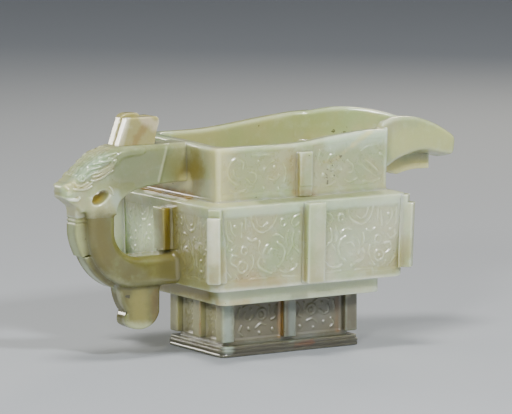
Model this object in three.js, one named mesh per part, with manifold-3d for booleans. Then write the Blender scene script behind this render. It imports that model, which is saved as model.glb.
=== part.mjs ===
// A jade pouring vessel in archaic style: a two-tier rectangular bowl on a hollow foot,
// with a beaked spout at one end and a beast-head loop handle at the other.
// Millimetres, +X to the spout, +Y to the back, +Z up. The real thing is carved from one stone,
// and each mesh here is one carved member of it, met by its neighbours face to face.
import * as THREE from 'three';
import { mergeVertices } from 'three/addons/utils/BufferGeometryUtils.js';
import Module from 'manifold-3d';

const wasm = await Module();
wasm.setup();

// Driving dimensions
const seam = 0.3;                 // gap left where a curved or sloping member meets another
const overcut = 1;                // how far a cutting shape runs past the faces it cuts

const footHollow = { halfLength: 22, halfWidth: 11.5, radius: 3 };
const plinth = {
  halfLength: 30.3, halfWidth: 19.6, radius: 2.4, baseHeight: 2.8, stepHeight: 1.2, stepInset: 0.5,
};
const footWall = { inset: 3.2, radius: 1.5, height: 16.7, ceiling: 4.6 };
const footRib = { width: 5.2, clearBelow: 1.5, clearAbove: 0.8, faceInset: 0.7 };

const waist = { halfLength: 34.8, halfWidth: 27, radius: 3.2, height: 6.8 };

const belly = { halfLength: 42.5, halfWidth: 34.1, radius: 4, height: 30.4, draft: 1.1, shoulderRise: 1.2 };
const bellyRib = {
  width: 7.5, cornerWidth: 5, projection: 3.7, clearBelow: 2.9, clearAbove: 3.2, stepProjection: 1.6,
};

const endRib = { clearArm: 1.2, clearAbove: 2.8 };
const bowl = { wall: 5, radius: 5, floor: 6.4 };

const neckTier = { halfLength: 37.7, halfWidth: 28, radius: 1.6, draft: 0.5, lowRim: 20.2, highRim: 24 };
const rimRise = { start: -18, end: 30 };
const neckRib = { width: 5.6, projection: 2.2, clearAbove: 3.6, footHeight: 4, footInset: 0.4 };

const spout = {
  reach: 44.8, rootHalfWidth: 24.2, tipHalfWidth: 7.5, crown: 25.9, crownAt: 8, droop: 11.4,
  wall: 4, rootFloor: 13, tipFloor: 11, cove: 3, floorDip: 0.4, arrisRound: 0.8, tipRound: 1.8, tipLean: 0.2,
  underside: [[-0.4, 4.2], [0, 5], [0.39, 6.5], [0.52, 8.3], [0.63, 8.9], [0.78, 8.2], [0.9, 6.9],
    [1.05, 6.7]],
  arris: [[-0.4, 5], [0, 7.4], [0.14, 9.5], [0.22, 10.6], [0.43, 12.2], [0.61, 12], [0.8, 10], [1.05, 7.8]],
};
const keel = {
  width: 6, reach: 35,
  scroll: [[-0.3, 2.6], [0, 2.4], [0.12, 1.8], [0.27, 2.3], [0.41, 2.9], [0.51, 2.1], [0.59, 1.7],
    [0.67, 2.4], [0.81, 3.1], [1.05, 3]],
};

const handle = {
  halfWidth: 7.2, neckLength: 27.5, neckDepth: 15.7, archRise: 1.3, loopAhead: 8,
  throatLength: 5.4, throatDrop: 2.4,
};
const head = {
  length: 23.2, snoutHalfWidth: 4.4, brow: 5.2, drop: 13.4, noseLength: 3.4, noseRound: 1.2, noseDepth: 3.9,
  lipStep: 0.5, chin: 4, chinRound: 1.6, edge: 2.2,
};
const mouthHole = { radius: 2.2, stretch: 1.75, tilt: -32, behindSnout: 14, aboveLoop: 7.3 };
const horn = {
  thickness: 4.1, groove: 0.4, height: 10, setBack: 0.4, lean: 3.7, length: 13.4, rearLean: 1.6,
  corner: 1.6, knob: 1.3, knobLength: 7.6,
};
const loop = { radial: 11.4, edge: 3, bend: 15.6, bendCentreZ: 48.2, top: 54 };
const crest = {
  width: 7.5, projection: 3.8, notchProjection: 2.6, lowerProjection: 1.8,
  notchAngle: 22, notchGap: 1, endAngle: 66,
};
const pendant = {
  width: 7.5, length: 17.6, drop: 15.8, shoulder: 0.8, hook: 3.4, hookBulge: 1.3, aheadOfBend: 10.6,
};

// Heights that follow from the driving dimensions
const footTop = plinth.baseHeight + plinth.stepHeight;
const waistBottom = footTop + footWall.height;
const bellyBottom = waistBottom + waist.height;
const shoulderEdge = bellyBottom + belly.height;
const neckBottom = shoulderEdge + belly.shoulderRise;
const bowlFloor = bellyBottom + bowl.floor;

const stone = (color, roughness = 0.3) => (
  new THREE.MeshStandardMaterial({ color, roughness, metalness: 0 }));
const paleJade = stone(0xc3cbab);
const greyJade = stone(0x9d9c84);
const oliveJade = stone(0xa9a878);
const whiteJade = stone(0xd9dccd, 0.25);

const vessel = new THREE.Group();

function add(name, geometry, material = paleJade) {
  const mesh = new THREE.Mesh(geometry, material);
  mesh.name = name;
  vessel.add(mesh);
  return mesh;
}

// Solid helpers
function toSolid(geometry) {
  let bare = geometry.clone();
  bare.deleteAttribute('normal');
  bare.deleteAttribute('uv');
  if (!bare.index) bare.setIndex([...Array(bare.attributes.position.count).keys()]);
  bare = mergeVertices(bare, 1e-4);
  return new wasm.Manifold(new wasm.Mesh({
    numProp: 3,
    vertProperties: new Float32Array(bare.attributes.position.array),
    triVerts: new Uint32Array(bare.index.array),
  }));
}

function toGeometry(solid) {
  const mesh = solid.getMesh();
  const geometry = new THREE.BufferGeometry();
  geometry.setAttribute('position', new THREE.BufferAttribute(mesh.vertProperties, 3));
  geometry.setIndex(new THREE.BufferAttribute(mesh.triVerts, 1));
  geometry.computeVertexNormals();
  return geometry;
}

// Points of a rectangle with round corners, anticlockwise
function roundedRectangle(halfLength, halfWidth, radius, steps = 5) {
  const points = [];
  const corners = [[1, 1], [-1, 1], [-1, -1], [1, -1]];
  corners.forEach(([sx, sy], quarter) => {
    for (let i = 0; i <= steps; i += 1) {
      const angle = (quarter + i / steps) * Math.PI / 2;
      points.push(new THREE.Vector2(
        sx * (halfLength - radius) + radius * Math.cos(angle),
        sy * (halfWidth - radius) + radius * Math.sin(angle),
      ));
    }
  });
  return points;
}

// A closed solid through rings of equally many points, capped at both ends.
// flat(point) gives the two coordinates in which an end cap is triangulated.
function loft(rings, flat = (p) => new THREE.Vector2(p.x, p.y)) {
  const count = rings[0].length;
  const positions = rings.flat().flatMap((p) => [p.x, p.y, p.z]);
  const index = [];
  for (let r = 0; r + 1 < rings.length; r += 1) {
    for (let i = 0; i < count; i += 1) {
      const a = r * count + i;
      const b = r * count + (i + 1) % count;
      index.push(a, b, b + count, a, b + count, a + count);
    }
  }
  const last = (rings.length - 1) * count;
  THREE.ShapeUtils.triangulateShape(rings[0].map(flat), []).forEach(([a, b, c]) => index.push(a, c, b));
  THREE.ShapeUtils.triangulateShape(rings.at(-1).map(flat), [])
    .forEach(([a, b, c]) => index.push(last + a, last + b, last + c));
  const geometry = new THREE.BufferGeometry();
  geometry.setAttribute('position', new THREE.Float32BufferAttribute(positions, 3));
  geometry.setIndex(index);
  geometry.computeVertexNormals();
  return geometry;
}

// A block whose plan is a round-cornered rectangle at each level: [z, half length, half width, radius]
function tier(levels) {
  return loft(levels.map(([z, halfLength, halfWidth, radius]) => (
    roundedRectangle(halfLength, halfWidth, radius).map((p) => new THREE.Vector3(p.x, p.y, z)))));
}

// An outline in the XZ plane made into a slab of the given width, centred on Y = middle
function slab(outline, width, middle = 0) {
  const shape = Array.isArray(outline)
    ? new THREE.Shape(outline.map(([x, z]) => new THREE.Vector2(x, z)))
    : outline;
  const options = { depth: width, bevelEnabled: false, curveSegments: 8 };
  const geometry = new THREE.ExtrudeGeometry(shape, options);
  geometry.rotateX(Math.PI / 2);
  geometry.translate(0, middle + width / 2, 0);
  return geometry;
}

// Half length of the drafted belly wall at a height, and of the drafted neck-tier wall
const bellyInset = (z) => belly.draft * (shoulderEdge - z) / belly.height;
const neckInset = (z) => neckTier.draft * (neckBottom + neckTier.highRim - z) / neckTier.highRim;

// Foot: a stepped plinth, a hollow wall on it, square corner posts and a rib in the middle of each side
const stepHalfLength = plinth.halfLength - plinth.stepInset;
const stepHalfWidth = plinth.halfWidth - plinth.stepInset;
const wallHalfLength = plinth.halfLength - footWall.inset;
const wallHalfWidth = plinth.halfWidth - footWall.inset;

function footHole(bottom, top) {
  return toSolid(tier([bottom, top].map((z) => (
    [z, footHollow.halfLength, footHollow.halfWidth, footHollow.radius]))));
}

function makePlinth() {
  const block = toSolid(tier([
    [0, plinth.halfLength, plinth.halfWidth, plinth.radius],
    [plinth.baseHeight, plinth.halfLength, plinth.halfWidth, plinth.radius],
    [plinth.baseHeight, stepHalfLength, stepHalfWidth, plinth.radius],
    [footTop, stepHalfLength, stepHalfWidth, plinth.radius],
  ]));
  return toGeometry(block.subtract(footHole(-overcut, footTop + overcut)));
}

function makeFootWall() {
  const block = toSolid(tier([
    [footTop, wallHalfLength, wallHalfWidth, footWall.radius],
    [waistBottom, wallHalfLength, wallHalfWidth, footWall.radius],
  ]));
  return toGeometry(block.subtract(footHole(footTop - overcut, waistBottom - footWall.ceiling)));
}

const ribFaceX = plinth.halfLength - footRib.faceInset;
const ribFaceY = plinth.halfWidth - footRib.faceInset;
const footRibBottom = footTop + footRib.clearBelow;
const footRibTop = waistBottom - footRib.clearAbove;

function verticalPrism(points, bottom, top) {
  const shape = new THREE.Shape(points.map(([x, y]) => new THREE.Vector2(x, y)));
  const geometry = new THREE.ExtrudeGeometry(shape, { depth: top - bottom, bevelEnabled: false });
  geometry.translate(0, 0, bottom);
  return geometry;
}

// Anticlockwise order for a plan outline that was mirrored by the signs sx and sy
const mirrored = (points, sx, sy) => {
  const turned = points.map(([x, y]) => [sx * x, sy * y]);
  return sx * sy < 0 ? turned.reverse() : turned;
};

function footPost(sx, sy) {
  const innerX = ribFaceX - footRib.width;
  const innerY = ribFaceY - footRib.width;
  const corner = [[wallHalfLength, innerY], [ribFaceX, innerY], [ribFaceX, ribFaceY],
    [innerX, ribFaceY], [innerX, wallHalfWidth], [wallHalfLength, wallHalfWidth]];
  return verticalPrism(mirrored(corner, sx, sy), footRibBottom, footRibTop);
}

function footMiddleRib(axis, sign) {
  const half = footRib.width / 2;
  const [inner, outer] = axis === 'x' ? [wallHalfLength, ribFaceX] : [wallHalfWidth, ribFaceY];
  const strip = [[inner, -half], [outer, -half], [outer, half], [inner, half]];
  const geometry = verticalPrism(strip, footRibBottom, footRibTop);
  const turn = axis === 'x' ? (1 - sign) * Math.PI / 2 : sign * Math.PI / 2;
  geometry.rotateZ(turn);
  return geometry;
}

add('foot_plinth', makePlinth(), greyJade);
add('foot_wall', makeFootWall(), greyJade);
[['front_left', -1, -1], ['front_right', 1, -1], ['back_left', -1, 1], ['back_right', 1, 1]]
  .forEach(([place, sx, sy]) => add(`foot_post_${place}`, footPost(sx, sy), greyJade));
[['left', 'x', -1], ['right', 'x', 1], ['front', 'y', -1], ['back', 'y', 1]]
  .forEach(([place, axis, sign]) => add(`foot_rib_${place}`, footMiddleRib(axis, sign), greyJade));

// Waist: a plain slab between the foot and the belly
add('waist_slab', tier([
  [waistBottom, waist.halfLength, waist.halfWidth, waist.radius],
  [bellyBottom, waist.halfLength, waist.halfWidth, waist.radius],
]));

// Belly: the wide lower tier, drafted inwards to its base, with a sloping shoulder and the bowl's floor
const neckFootHalfLength = neckTier.halfLength - neckInset(neckBottom);
const neckFootHalfWidth = neckTier.halfWidth - neckInset(neckBottom);
const bowlHalfLength = neckTier.halfLength - bowl.wall;
const bowlHalfWidth = neckTier.halfWidth - bowl.wall;

const bellyLevels = (grow = 0) => [
  [bellyBottom - grow, belly.halfLength - belly.draft + grow, belly.halfWidth - belly.draft + grow,
    belly.radius],
  [shoulderEdge, belly.halfLength + grow, belly.halfWidth + grow, belly.radius],
  [neckBottom + grow, neckFootHalfLength + grow, neckFootHalfWidth + grow, neckTier.radius],
];

function bowlHollow(bottom, top) {
  return toSolid(tier([
    [bottom, bowlHalfLength - bowl.radius / 2, bowlHalfWidth - bowl.radius / 2, bowl.radius],
    [bottom + bowl.radius / 2, bowlHalfLength, bowlHalfWidth, bowl.radius],
    [top, bowlHalfLength, bowlHalfWidth, bowl.radius],
  ]));
}

const hollow = bowlHollow(bowlFloor, neckBottom + neckTier.highRim * 2);
const bellyBlock = toSolid(tier(bellyLevels()));
add('belly', toGeometry(bellyBlock.subtract(hollow)));

// A rib's side view: distance out from the wall against height, leaning with the drafted wall
function bellyRibGeometry(width, bottom, top, stepped) {
  const out = bellyRib.projection;
  const lean = (z) => -bellyInset(z);
  const outline = [[seam + lean(bottom), bottom], [out + lean(bottom), bottom], [out + lean(top), top]];
  if (stepped) {
    const peak = shoulderEdge - seam;
    outline.push([bellyRib.stepProjection + lean(top), top]);
    outline.push([bellyRib.stepProjection + lean(peak), peak], [seam + lean(peak), peak]);
  } else {
    outline.push([seam + lean(top), top]);
  }
  return slab(outline, width);
}

const ribBottom = bellyBottom + bellyRib.clearBelow;
const ribTop = shoulderEdge - bellyRib.clearAbove;

function placeRib(name, geometry, x, y, turn) {
  const mesh = add(name, geometry);
  mesh.position.set(x, y, 0);
  mesh.rotation.z = turn;
}

// The corner ribs stand on the diagonal of each round corner
const cornerReach = belly.radius * (1 - Math.SQRT1_2);
[['front_left', -1, -1], ['front_right', 1, -1], ['back_left', -1, 1], ['back_right', 1, 1]]
  .forEach(([place, sx, sy]) => placeRib(
    `belly_rib_${place}`,
    bellyRibGeometry(bellyRib.cornerWidth, ribBottom, ribTop, true),
    sx * (belly.halfLength - cornerReach),
    sy * (belly.halfWidth - cornerReach),
    Math.atan2(sy, sx),
  ));
[['front', -1], ['back', 1]].forEach(([place, sign]) => placeRib(
  `belly_rib_${place}`,
  bellyRibGeometry(bellyRib.width, bellyBottom + seam, shoulderEdge - seam, false),
  0, sign * belly.halfWidth, sign * Math.PI / 2,
));

// End ribs: the left one stands over the handle's lower arm, the right one runs the full height
const armTop = loop.bendCentreZ - loop.bend + loop.radial / 2;
[['left', -1, armTop + endRib.clearArm], ['right', 1, bellyBottom + seam]]
  .forEach(([place, sign, bottom]) => placeRib(
    `belly_rib_${place}`,
    bellyRibGeometry(bellyRib.width, bottom, shoulderEdge - endRib.clearAbove, false),
    sign * belly.halfLength, 0, (1 - sign) * Math.PI / 2,
  ));

// Neck tier: the upper box of the bowl. Its rim is low at the handle and sweeps up towards the spout.
const rimHeight = (x) => {
  const t = THREE.MathUtils.clamp((x - rimRise.start) / (rimRise.end - rimRise.start), 0, 1);
  return neckBottom + neckTier.lowRim + (neckTier.highRim - neckTier.lowRim) * t * t * (3 - 2 * t);
};

const neckLevels = (grow = 0) => {
  const top = neckBottom + neckTier.highRim;
  return [
    [neckBottom - grow, neckFootHalfLength + grow, neckFootHalfWidth + grow, neckTier.radius + grow],
    [top, neckTier.halfLength + grow, neckTier.halfWidth + grow, neckTier.radius + grow],
    [top + neckTier.highRim, neckTier.halfLength + grow, neckTier.halfWidth + grow, neckTier.radius + grow],
  ];
};

// A level well over everything, for the tops of cutting shapes
const crownHigh = neckBottom + neckTier.highRim * 3;

function aboveRim() {
  const beyond = belly.halfLength * 2;
  const outline = [[-beyond, rimHeight(-beyond)]];
  const steps = 12;
  for (let i = 0; i <= steps; i += 1) {
    const x = THREE.MathUtils.lerp(rimRise.start, rimRise.end, i / steps);
    outline.push([x, rimHeight(x)]);
  }
  outline.push([beyond, rimHeight(beyond)], [beyond, crownHigh], [-beyond, crownHigh]);
  return toSolid(slab(outline, belly.halfWidth * 4));
}

// Spout: an open channel with upright sides and a sloping underside, passed through the bowl's right
// end wall. Its rim swells up from the bowl's and then droops to the lip like a beak.
const spoutStart = bowlHalfLength;
const spoutRoot = neckTier.halfLength;
const spoutTip = spoutRoot + spout.reach;
const spoutShare = (x) => (x - spoutRoot) / spout.reach;
const spoutHalfWidth = (x) => (
  THREE.MathUtils.lerp(spout.rootHalfWidth, spout.tipHalfWidth, spoutShare(Math.max(x, spoutStart))));

// A smooth line through [share of a reach from the wall, height over the shoulder], read at any x
function heightLine(points, reach) {
  const curve = new THREE.CatmullRomCurve3(points.map(([share, height]) => (
    new THREE.Vector3(spoutRoot + share * reach, 0, neckBottom + height))));
  const line = curve.getPoints(points.length * 8);
  return (x) => {
    const next = THREE.MathUtils.clamp(line.findIndex((p) => p.x >= x), 1, line.length - 1);
    const [before, after] = [line[next - 1], line[next]];
    return THREE.MathUtils.mapLinear(x, before.x, after.x, before.z, after.z);
  };
}

const undersideAt = heightLine(spout.underside, spout.reach);
const arrisAt = heightLine(spout.arris, spout.reach);
const spoutTop = (x) => {
  const rim = neckBottom + neckTier.highRim;
  const crown = neckBottom + spout.crown;
  const crownX = spoutRoot + spout.crownAt;
  const rise = THREE.MathUtils.smoothstep(x, spoutStart, crownX);
  const past = Math.max(0, x - crownX) / (spoutTip - crownX);
  return THREE.MathUtils.lerp(rim, crown, rise) - spout.droop * past * past;
};
const channelFloor = (x) => (
  neckBottom + THREE.MathUtils.lerp(spout.rootFloor, spout.tipFloor, spoutShare(x)));

function bothSides(half) {
  const left = half.map(([y, z]) => [-y, z]);
  return [...left, ...half.slice(0, -1).reverse()];
}

// Half of the channel's hollow, from the rim round to the middle of its floor
function channelSide(halfWidth, top, floor) {
  const turn = Math.min(floor + spout.cove, (floor + top) / 2);
  const points = [[halfWidth, top]];
  const steps = 5;
  for (let i = 0; i <= steps; i += 1) {
    const angle = i / steps * Math.PI / 2;
    points.push([
      halfWidth - spout.cove * (1 - Math.cos(angle)),
      turn - (turn - floor) * Math.sin(angle),
    ]);
  }
  points.push([0, floor - spout.floorDip]);
  return points;
}

// One section of the spout, leaning back below the lip. A filled one has no channel and is open upward.
function spoutRing(x, { grow = 0, shrink = 0, filled = false } = {}) {
  const width = spoutHalfWidth(x) + grow - shrink;
  const bottom = undersideAt(x) - grow + shrink;
  const arris = arrisAt(x) - grow + shrink;
  const top = spoutTop(x) - shrink + (filled ? neckTier.highRim : 0);
  const outer = bothSides([
    [width, top], [width, arris + spout.arrisRound], [width - spout.arrisRound, arris],
    [width / 2, THREE.MathUtils.lerp(arris, bottom, 0.6)], [0, bottom]]);
  const inner = bothSides(channelSide(spoutHalfWidth(x) - spout.wall, top, channelFloor(x)));
  const lean = spout.tipLean * Math.max(0, spoutShare(x)) ** 4;
  return (filled ? outer : [...outer, ...inner.reverse()])
    .map(([y, z]) => new THREE.Vector3(x + lean * Math.min(0, z - spoutTop(spoutTip)), y, z));
}

const acrossX = (p) => new THREE.Vector2(p.y, p.z);

function makeSpout() {
  const stations = 14;
  const last = spoutTip - spout.tipRound;
  const rings = [];
  for (let i = 0; i <= stations; i += 1) {
    rings.push(spoutRing(THREE.MathUtils.lerp(spoutStart, last, i / stations)));
  }
  [0.6, 0.87, 1].forEach((share) => rings.push(spoutRing(
    last + spout.tipRound * share, { shrink: spout.tipRound * (1 - Math.sqrt(1 - share * share)) * 0.5 })));
  return toSolid(loft(rings, acrossX));
}

// What the end wall loses to the spout: its seat in the wall, and the bowl's rounded corners before it
function spoutNotch() {
  const seat = [spoutStart - seam, spoutRoot, spoutRoot + bowl.wall]
    .map((x) => spoutRing(x, { grow: seam, filled: true }));
  const mouthStart = spoutStart - bowl.radius;
  const mouth = [[mouthStart, -bowlHalfWidth], [spoutRoot, -bowlHalfWidth], [spoutRoot, bowlHalfWidth],
    [mouthStart, bowlHalfWidth]];
  return toSolid(loft(seat, acrossX))
    .add(toSolid(verticalPrism(mouth, channelFloor(spoutStart) - spout.floorDip, crownHigh)));
}

const neckBlock = toSolid(tier(neckLevels())).subtract(aboveRim()).subtract(hollow).subtract(spoutNotch());
add('neck_tier', toGeometry(neckBlock));

[['front', -1], ['back', 1]].forEach(([place, sign]) => {
  const lean = (z) => -neckInset(z);
  const top = neckBottom + neckTier.lowRim - neckRib.clearAbove;
  const base = neckBottom + neckRib.footHeight;
  const foot = neckRib.projection - neckRib.footInset;
  const outline = [
    [seam + lean(neckBottom), neckBottom + seam], [foot + lean(neckBottom), neckBottom + seam],
    [foot + lean(base), base], [neckRib.projection + lean(base), base],
    [neckRib.projection + lean(top), top], [seam + lean(top), top],
  ];
  const rib = slab(outline, neckRib.width);
  placeRib(`neck_rib_${place}`, rib, 0, sign * neckTier.halfWidth, sign * Math.PI / 2);
});

const spoutSolid = makeSpout();
add('spout', toGeometry(spoutSolid));

// Keel: the flange under the spout, its lower edge cut as a shallow scroll
function makeKeel() {
  const end = spoutRoot + keel.reach;
  const start = spoutRoot - bowl.wall;
  const edge = heightLine(keel.scroll, keel.reach);
  const steps = 16;
  const outline = [];
  for (let i = 0; i <= steps; i += 1) {
    const x = THREE.MathUtils.lerp(start, end, i / steps);
    outline.push([x, edge(x)]);
  }
  outline.push([end, spoutTop(end)], [start, spoutTop(end)]);
  const stations = 8;
  const rings = [];
  for (let i = 0; i <= stations; i += 1) {
    const x = THREE.MathUtils.lerp(start - bowl.wall, spoutTip, i / stations);
    rings.push(spoutRing(x, { grow: seam, filled: true }));
  }
  return toGeometry(toSolid(slab(outline, keel.width)).subtract(toSolid(loft(rings, acrossX)))
    .subtract(toSolid(tier(neckLevels(seam)))));
}
add('spout_keel', makeKeel());

// Handle: a neck bridge, the beast's head at its end, and a loop that curls under to the belly.
// Crown outline: the neck and the head in one side view, later parted behind the brow.
const crownTop = neckBottom + neckTier.lowRim;
const neckFront = -(neckTier.halfLength + handle.neckLength);
const snoutTip = neckFront - head.length;
const loopReach = -neckFront + handle.loopAhead;
const bendCentre = { x: -(loopReach - loop.bend), z: loop.bendCentreZ };
const crestFace = -(loopReach + loop.radial / 2 + crest.projection);
const loopInner = -(loopReach - loop.radial / 2);

const noseZ = crownTop - head.drop;
const headTaperStart = neckFront - head.length * 0.25;
const browLine = new THREE.QuadraticBezierCurve(
  new THREE.Vector2(neckFront, crownTop),
  new THREE.Vector2(neckFront - head.length * 0.42, crownTop - head.brow * 0.5),
  new THREE.Vector2(snoutTip + head.length * 0.3, noseZ + head.brow * 0.85),
);

function crownOutline() {
  const shape = new THREE.Shape();
  const wallEnd = -(neckTier.halfLength - bowl.wall / 2);
  const under = crownTop - handle.neckDepth;
  const chinZ = loop.top + head.chin;
  shape.moveTo(wallEnd, crownTop);
  shape.lineTo(neckFront, crownTop);
  shape.quadraticCurveTo(browLine.v1.x, browLine.v1.y, browLine.v2.x, browLine.v2.y);
  shape.lineTo(snoutTip + head.noseLength * 0.9, noseZ + head.noseRound);
  shape.quadraticCurveTo(snoutTip, noseZ + head.noseRound / 2, snoutTip, noseZ - head.noseRound / 2);
  shape.lineTo(snoutTip + head.lipStep, noseZ - head.noseDepth * 0.5);
  shape.lineTo(snoutTip + head.lipStep * 0.6, noseZ - head.noseDepth);
  shape.quadraticCurveTo(crestFace - head.chinRound, chinZ + head.chinRound * 0.75, crestFace, chinZ);
  shape.lineTo(crestFace, loop.top);
  shape.lineTo(loopInner, loop.top);
  shape.bezierCurveTo(
    loopInner, loop.top + handle.throatLength,
    neckFront + seam * 2, under - handle.throatDrop,
    neckFront + handle.throatLength, under - seam * 2,
  );
  const archTop = under + handle.archRise;
  shape.quadraticCurveTo(neckFront + handle.neckLength * 0.5, archTop, wallEnd, archTop);
  return shape;
}

// The neck and head seen along their length: flat sides and a rounded-over top, narrowing to the snout
function crownSection(x, top) {
  const t = THREE.MathUtils.clamp((headTaperStart - x) / (headTaperStart - snoutTip), 0, 1);
  const half = THREE.MathUtils.lerp(handle.halfWidth, head.snoutHalfWidth, t);
  const points = [[-half, 0], [half, 0]];
  const steps = 4;
  for (let i = 0; i <= steps * 2 + 1; i += 1) {
    const turn = i <= steps ? i : i - 1;
    const angle = turn / steps * Math.PI / 2;
    const side = i <= steps ? 1 : -1;
    points.push([side * (half - head.edge) + head.edge * Math.cos(angle),
      top - head.edge + head.edge * Math.sin(angle)]);
  }
  return points.map(([y, z]) => new THREE.Vector3(x, y, z));
}

function makeCrown() {
  const side = toSolid(slab(crownOutline(), handle.halfWidth * 3));
  const brow = browLine.getPoints(6).reverse().map((p) => [p.x, p.y]);
  const along = [[snoutTip * 1.1, noseZ + head.edge], ...brow, [-bowlHalfLength, crownTop]];
  const over = toSolid(loft(along.map(([x, z]) => crownSection(x, z)), acrossX));
  const hole = new THREE.CylinderGeometry(mouthHole.radius, mouthHole.radius, handle.halfWidth * 4, 20);
  hole.scale(mouthHole.stretch, 1, 1);
  hole.rotateY(mouthHole.tilt * Math.PI / 180);
  hole.translate(snoutTip + mouthHole.behindSnout, 0, loop.top + mouthHole.aboveLoop);
  return side.intersect(over).subtract(toSolid(hole)).subtract(toSolid(tier(neckLevels(seam))));
}

function slice(solid, fromX, toX) {
  const far = crownTop * 3;
  const plan = [[fromX, -far], [toX, -far], [toX, far], [fromX, far]];
  return solid.intersect(toSolid(verticalPrism(plan, -far, far)));
}

const crown = makeCrown();
add('handle_neck', toGeometry(slice(crown, neckFront, 0)));
add('beast_head', toGeometry(slice(crown, snoutTip * 2, neckFront)));

function hornOutline(knob) {
  const foot = neckFront + horn.setBack;
  const top = crownTop + horn.height;
  const front = foot + horn.lean;
  const rear = front + horn.length;
  const shape = new THREE.Shape();
  shape.moveTo(foot, crownTop);
  shape.lineTo(rear - horn.rearLean, crownTop);
  shape.lineTo(rear, top - horn.corner);
  shape.quadraticCurveTo(rear, top, rear - horn.corner, top);
  if (knob > 0) {
    shape.lineTo(front + horn.knobLength, top);
    shape.quadraticCurveTo(front + horn.knobLength, top + knob, front + horn.knobLength * 0.65, top + knob);
    shape.lineTo(front + horn.knobLength * 0.3, top + knob);
    shape.quadraticCurveTo(front - 0.2, top + knob * 0.8, front - 0.7, top - horn.corner);
  } else {
    shape.lineTo(front, top);
  }
  return shape;
}

[['front', -1, 0], ['back', 1, horn.knob]].forEach(([place, sign, knob]) => {
  const middle = sign * (horn.groove + horn.thickness) / 2;
  add(`horn_${place}`, slab(hornOutline(knob), horn.thickness, middle), whiteJade);
});

// Loop: a round-edged bar swept down, round the bend and along to the belly
function makeLoop() {
  const section = roundedRectangle(loop.radial / 2, handle.halfWidth, loop.edge, 3);
  const path = [[-loopReach, loop.top, 0]];
  const bendSteps = 10;
  for (let i = 0; i <= bendSteps; i += 1) {
    const angle = i / bendSteps * Math.PI / 2;
    const [out, down] = [loop.bend * Math.cos(angle), loop.bend * Math.sin(angle)];
    path.push([bendCentre.x - out, bendCentre.z - down, angle]);
  }
  path.push([-(belly.halfLength - bellyRib.projection * 2), bendCentre.z - loop.bend, Math.PI / 2]);
  const rings = path.map(([x, z, angle]) => section.map((p) => new THREE.Vector3(
    x - p.x * Math.cos(angle), p.y, z - p.x * Math.sin(angle))));
  const bar = toSolid(loft(rings, (p, i) => section[i]));
  return toGeometry(bar.subtract(toSolid(tier(bellyLevels(seam)))));
}
add('handle_loop', makeLoop(), oliveJade);

// Crest: the flange along the loop's back, in two lengths parted by a notch
const crestInner = loop.bend + loop.radial / 2 + seam;
const degrees = Math.PI / 180;
const crestPoint = (radius, angle) => [
  bendCentre.x - radius * Math.cos(angle * degrees), bendCentre.z - radius * Math.sin(angle * degrees)];

function crestSlab(startAngle, endAngle, startRadius, endRadius, top) {
  const steps = 6;
  const outer = [];
  const inner = [];
  for (let i = 0; i <= steps; i += 1) {
    const angle = THREE.MathUtils.lerp(startAngle, endAngle, i / steps);
    outer.push(crestPoint(THREE.MathUtils.lerp(startRadius, endRadius, i / steps), angle));
    inner.unshift(crestPoint(crestInner, angle));
  }
  if (top !== undefined) {
    outer.unshift([crestFace, top]);
    inner.push([bendCentre.x - crestInner, top]);
  }
  return slab([...outer, ...inner], crest.width);
}

const crestRadius = (projection) => loop.bend + loop.radial / 2 + projection;
add('crest_upper', crestSlab(0, crest.notchAngle, crestRadius(crest.projection),
  crestRadius(crest.notchProjection), loop.top));
add('crest_lower', crestSlab(crest.notchAngle + crest.notchGap, crest.endAngle,
  crestRadius(crest.lowerProjection), crestRadius(crest.lowerProjection)));

// Pendant: the flat tail that hangs under the loop's lower arm
function pendantOutline() {
  const top = bendCentre.z - loop.bend - loop.radial / 2 - seam;
  const right = bendCentre.x + pendant.aheadOfBend;
  const left = right - pendant.length;
  const low = top - pendant.drop;
  const waistX = left + pendant.hook;
  const shape = new THREE.Shape();
  shape.moveTo(left, top);
  shape.quadraticCurveTo(
    left + pendant.shoulder, top - pendant.drop * 0.4,
    waistX, top - pendant.drop * 0.62,
  );
  shape.quadraticCurveTo(waistX - pendant.hookBulge, low + pendant.drop * 0.26,
    waistX - pendant.hookBulge * 0.4, low + pendant.drop * 0.15);
  shape.quadraticCurveTo(left + pendant.length * 0.3, low, left + pendant.length * 0.56, low);
  shape.quadraticCurveTo(right - pendant.length * 0.1, low + 0.6, right - 0.2, top - pendant.drop * 0.68);
  shape.lineTo(right, top);
  return shape;
}
add('tail_pendant', slab(pendantOutline(), pendant.width), oliveJade);

// The origin lies under the middle of the whole length
const whole = new THREE.Box3().setFromObject(vessel);
vessel.position.x = -(whole.min.x + whole.max.x) / 2;

export default vessel;
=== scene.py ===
# Looks of a jade pouring vessel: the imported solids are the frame, and each carved member is
# modelled again over its own solid with its relief and its polish.
# Metres in the world; millimetres, measured from the middle of the foot, in the sections.
import math

import bpy
import numpy as np
from mathutils import Matrix, Vector


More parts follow.
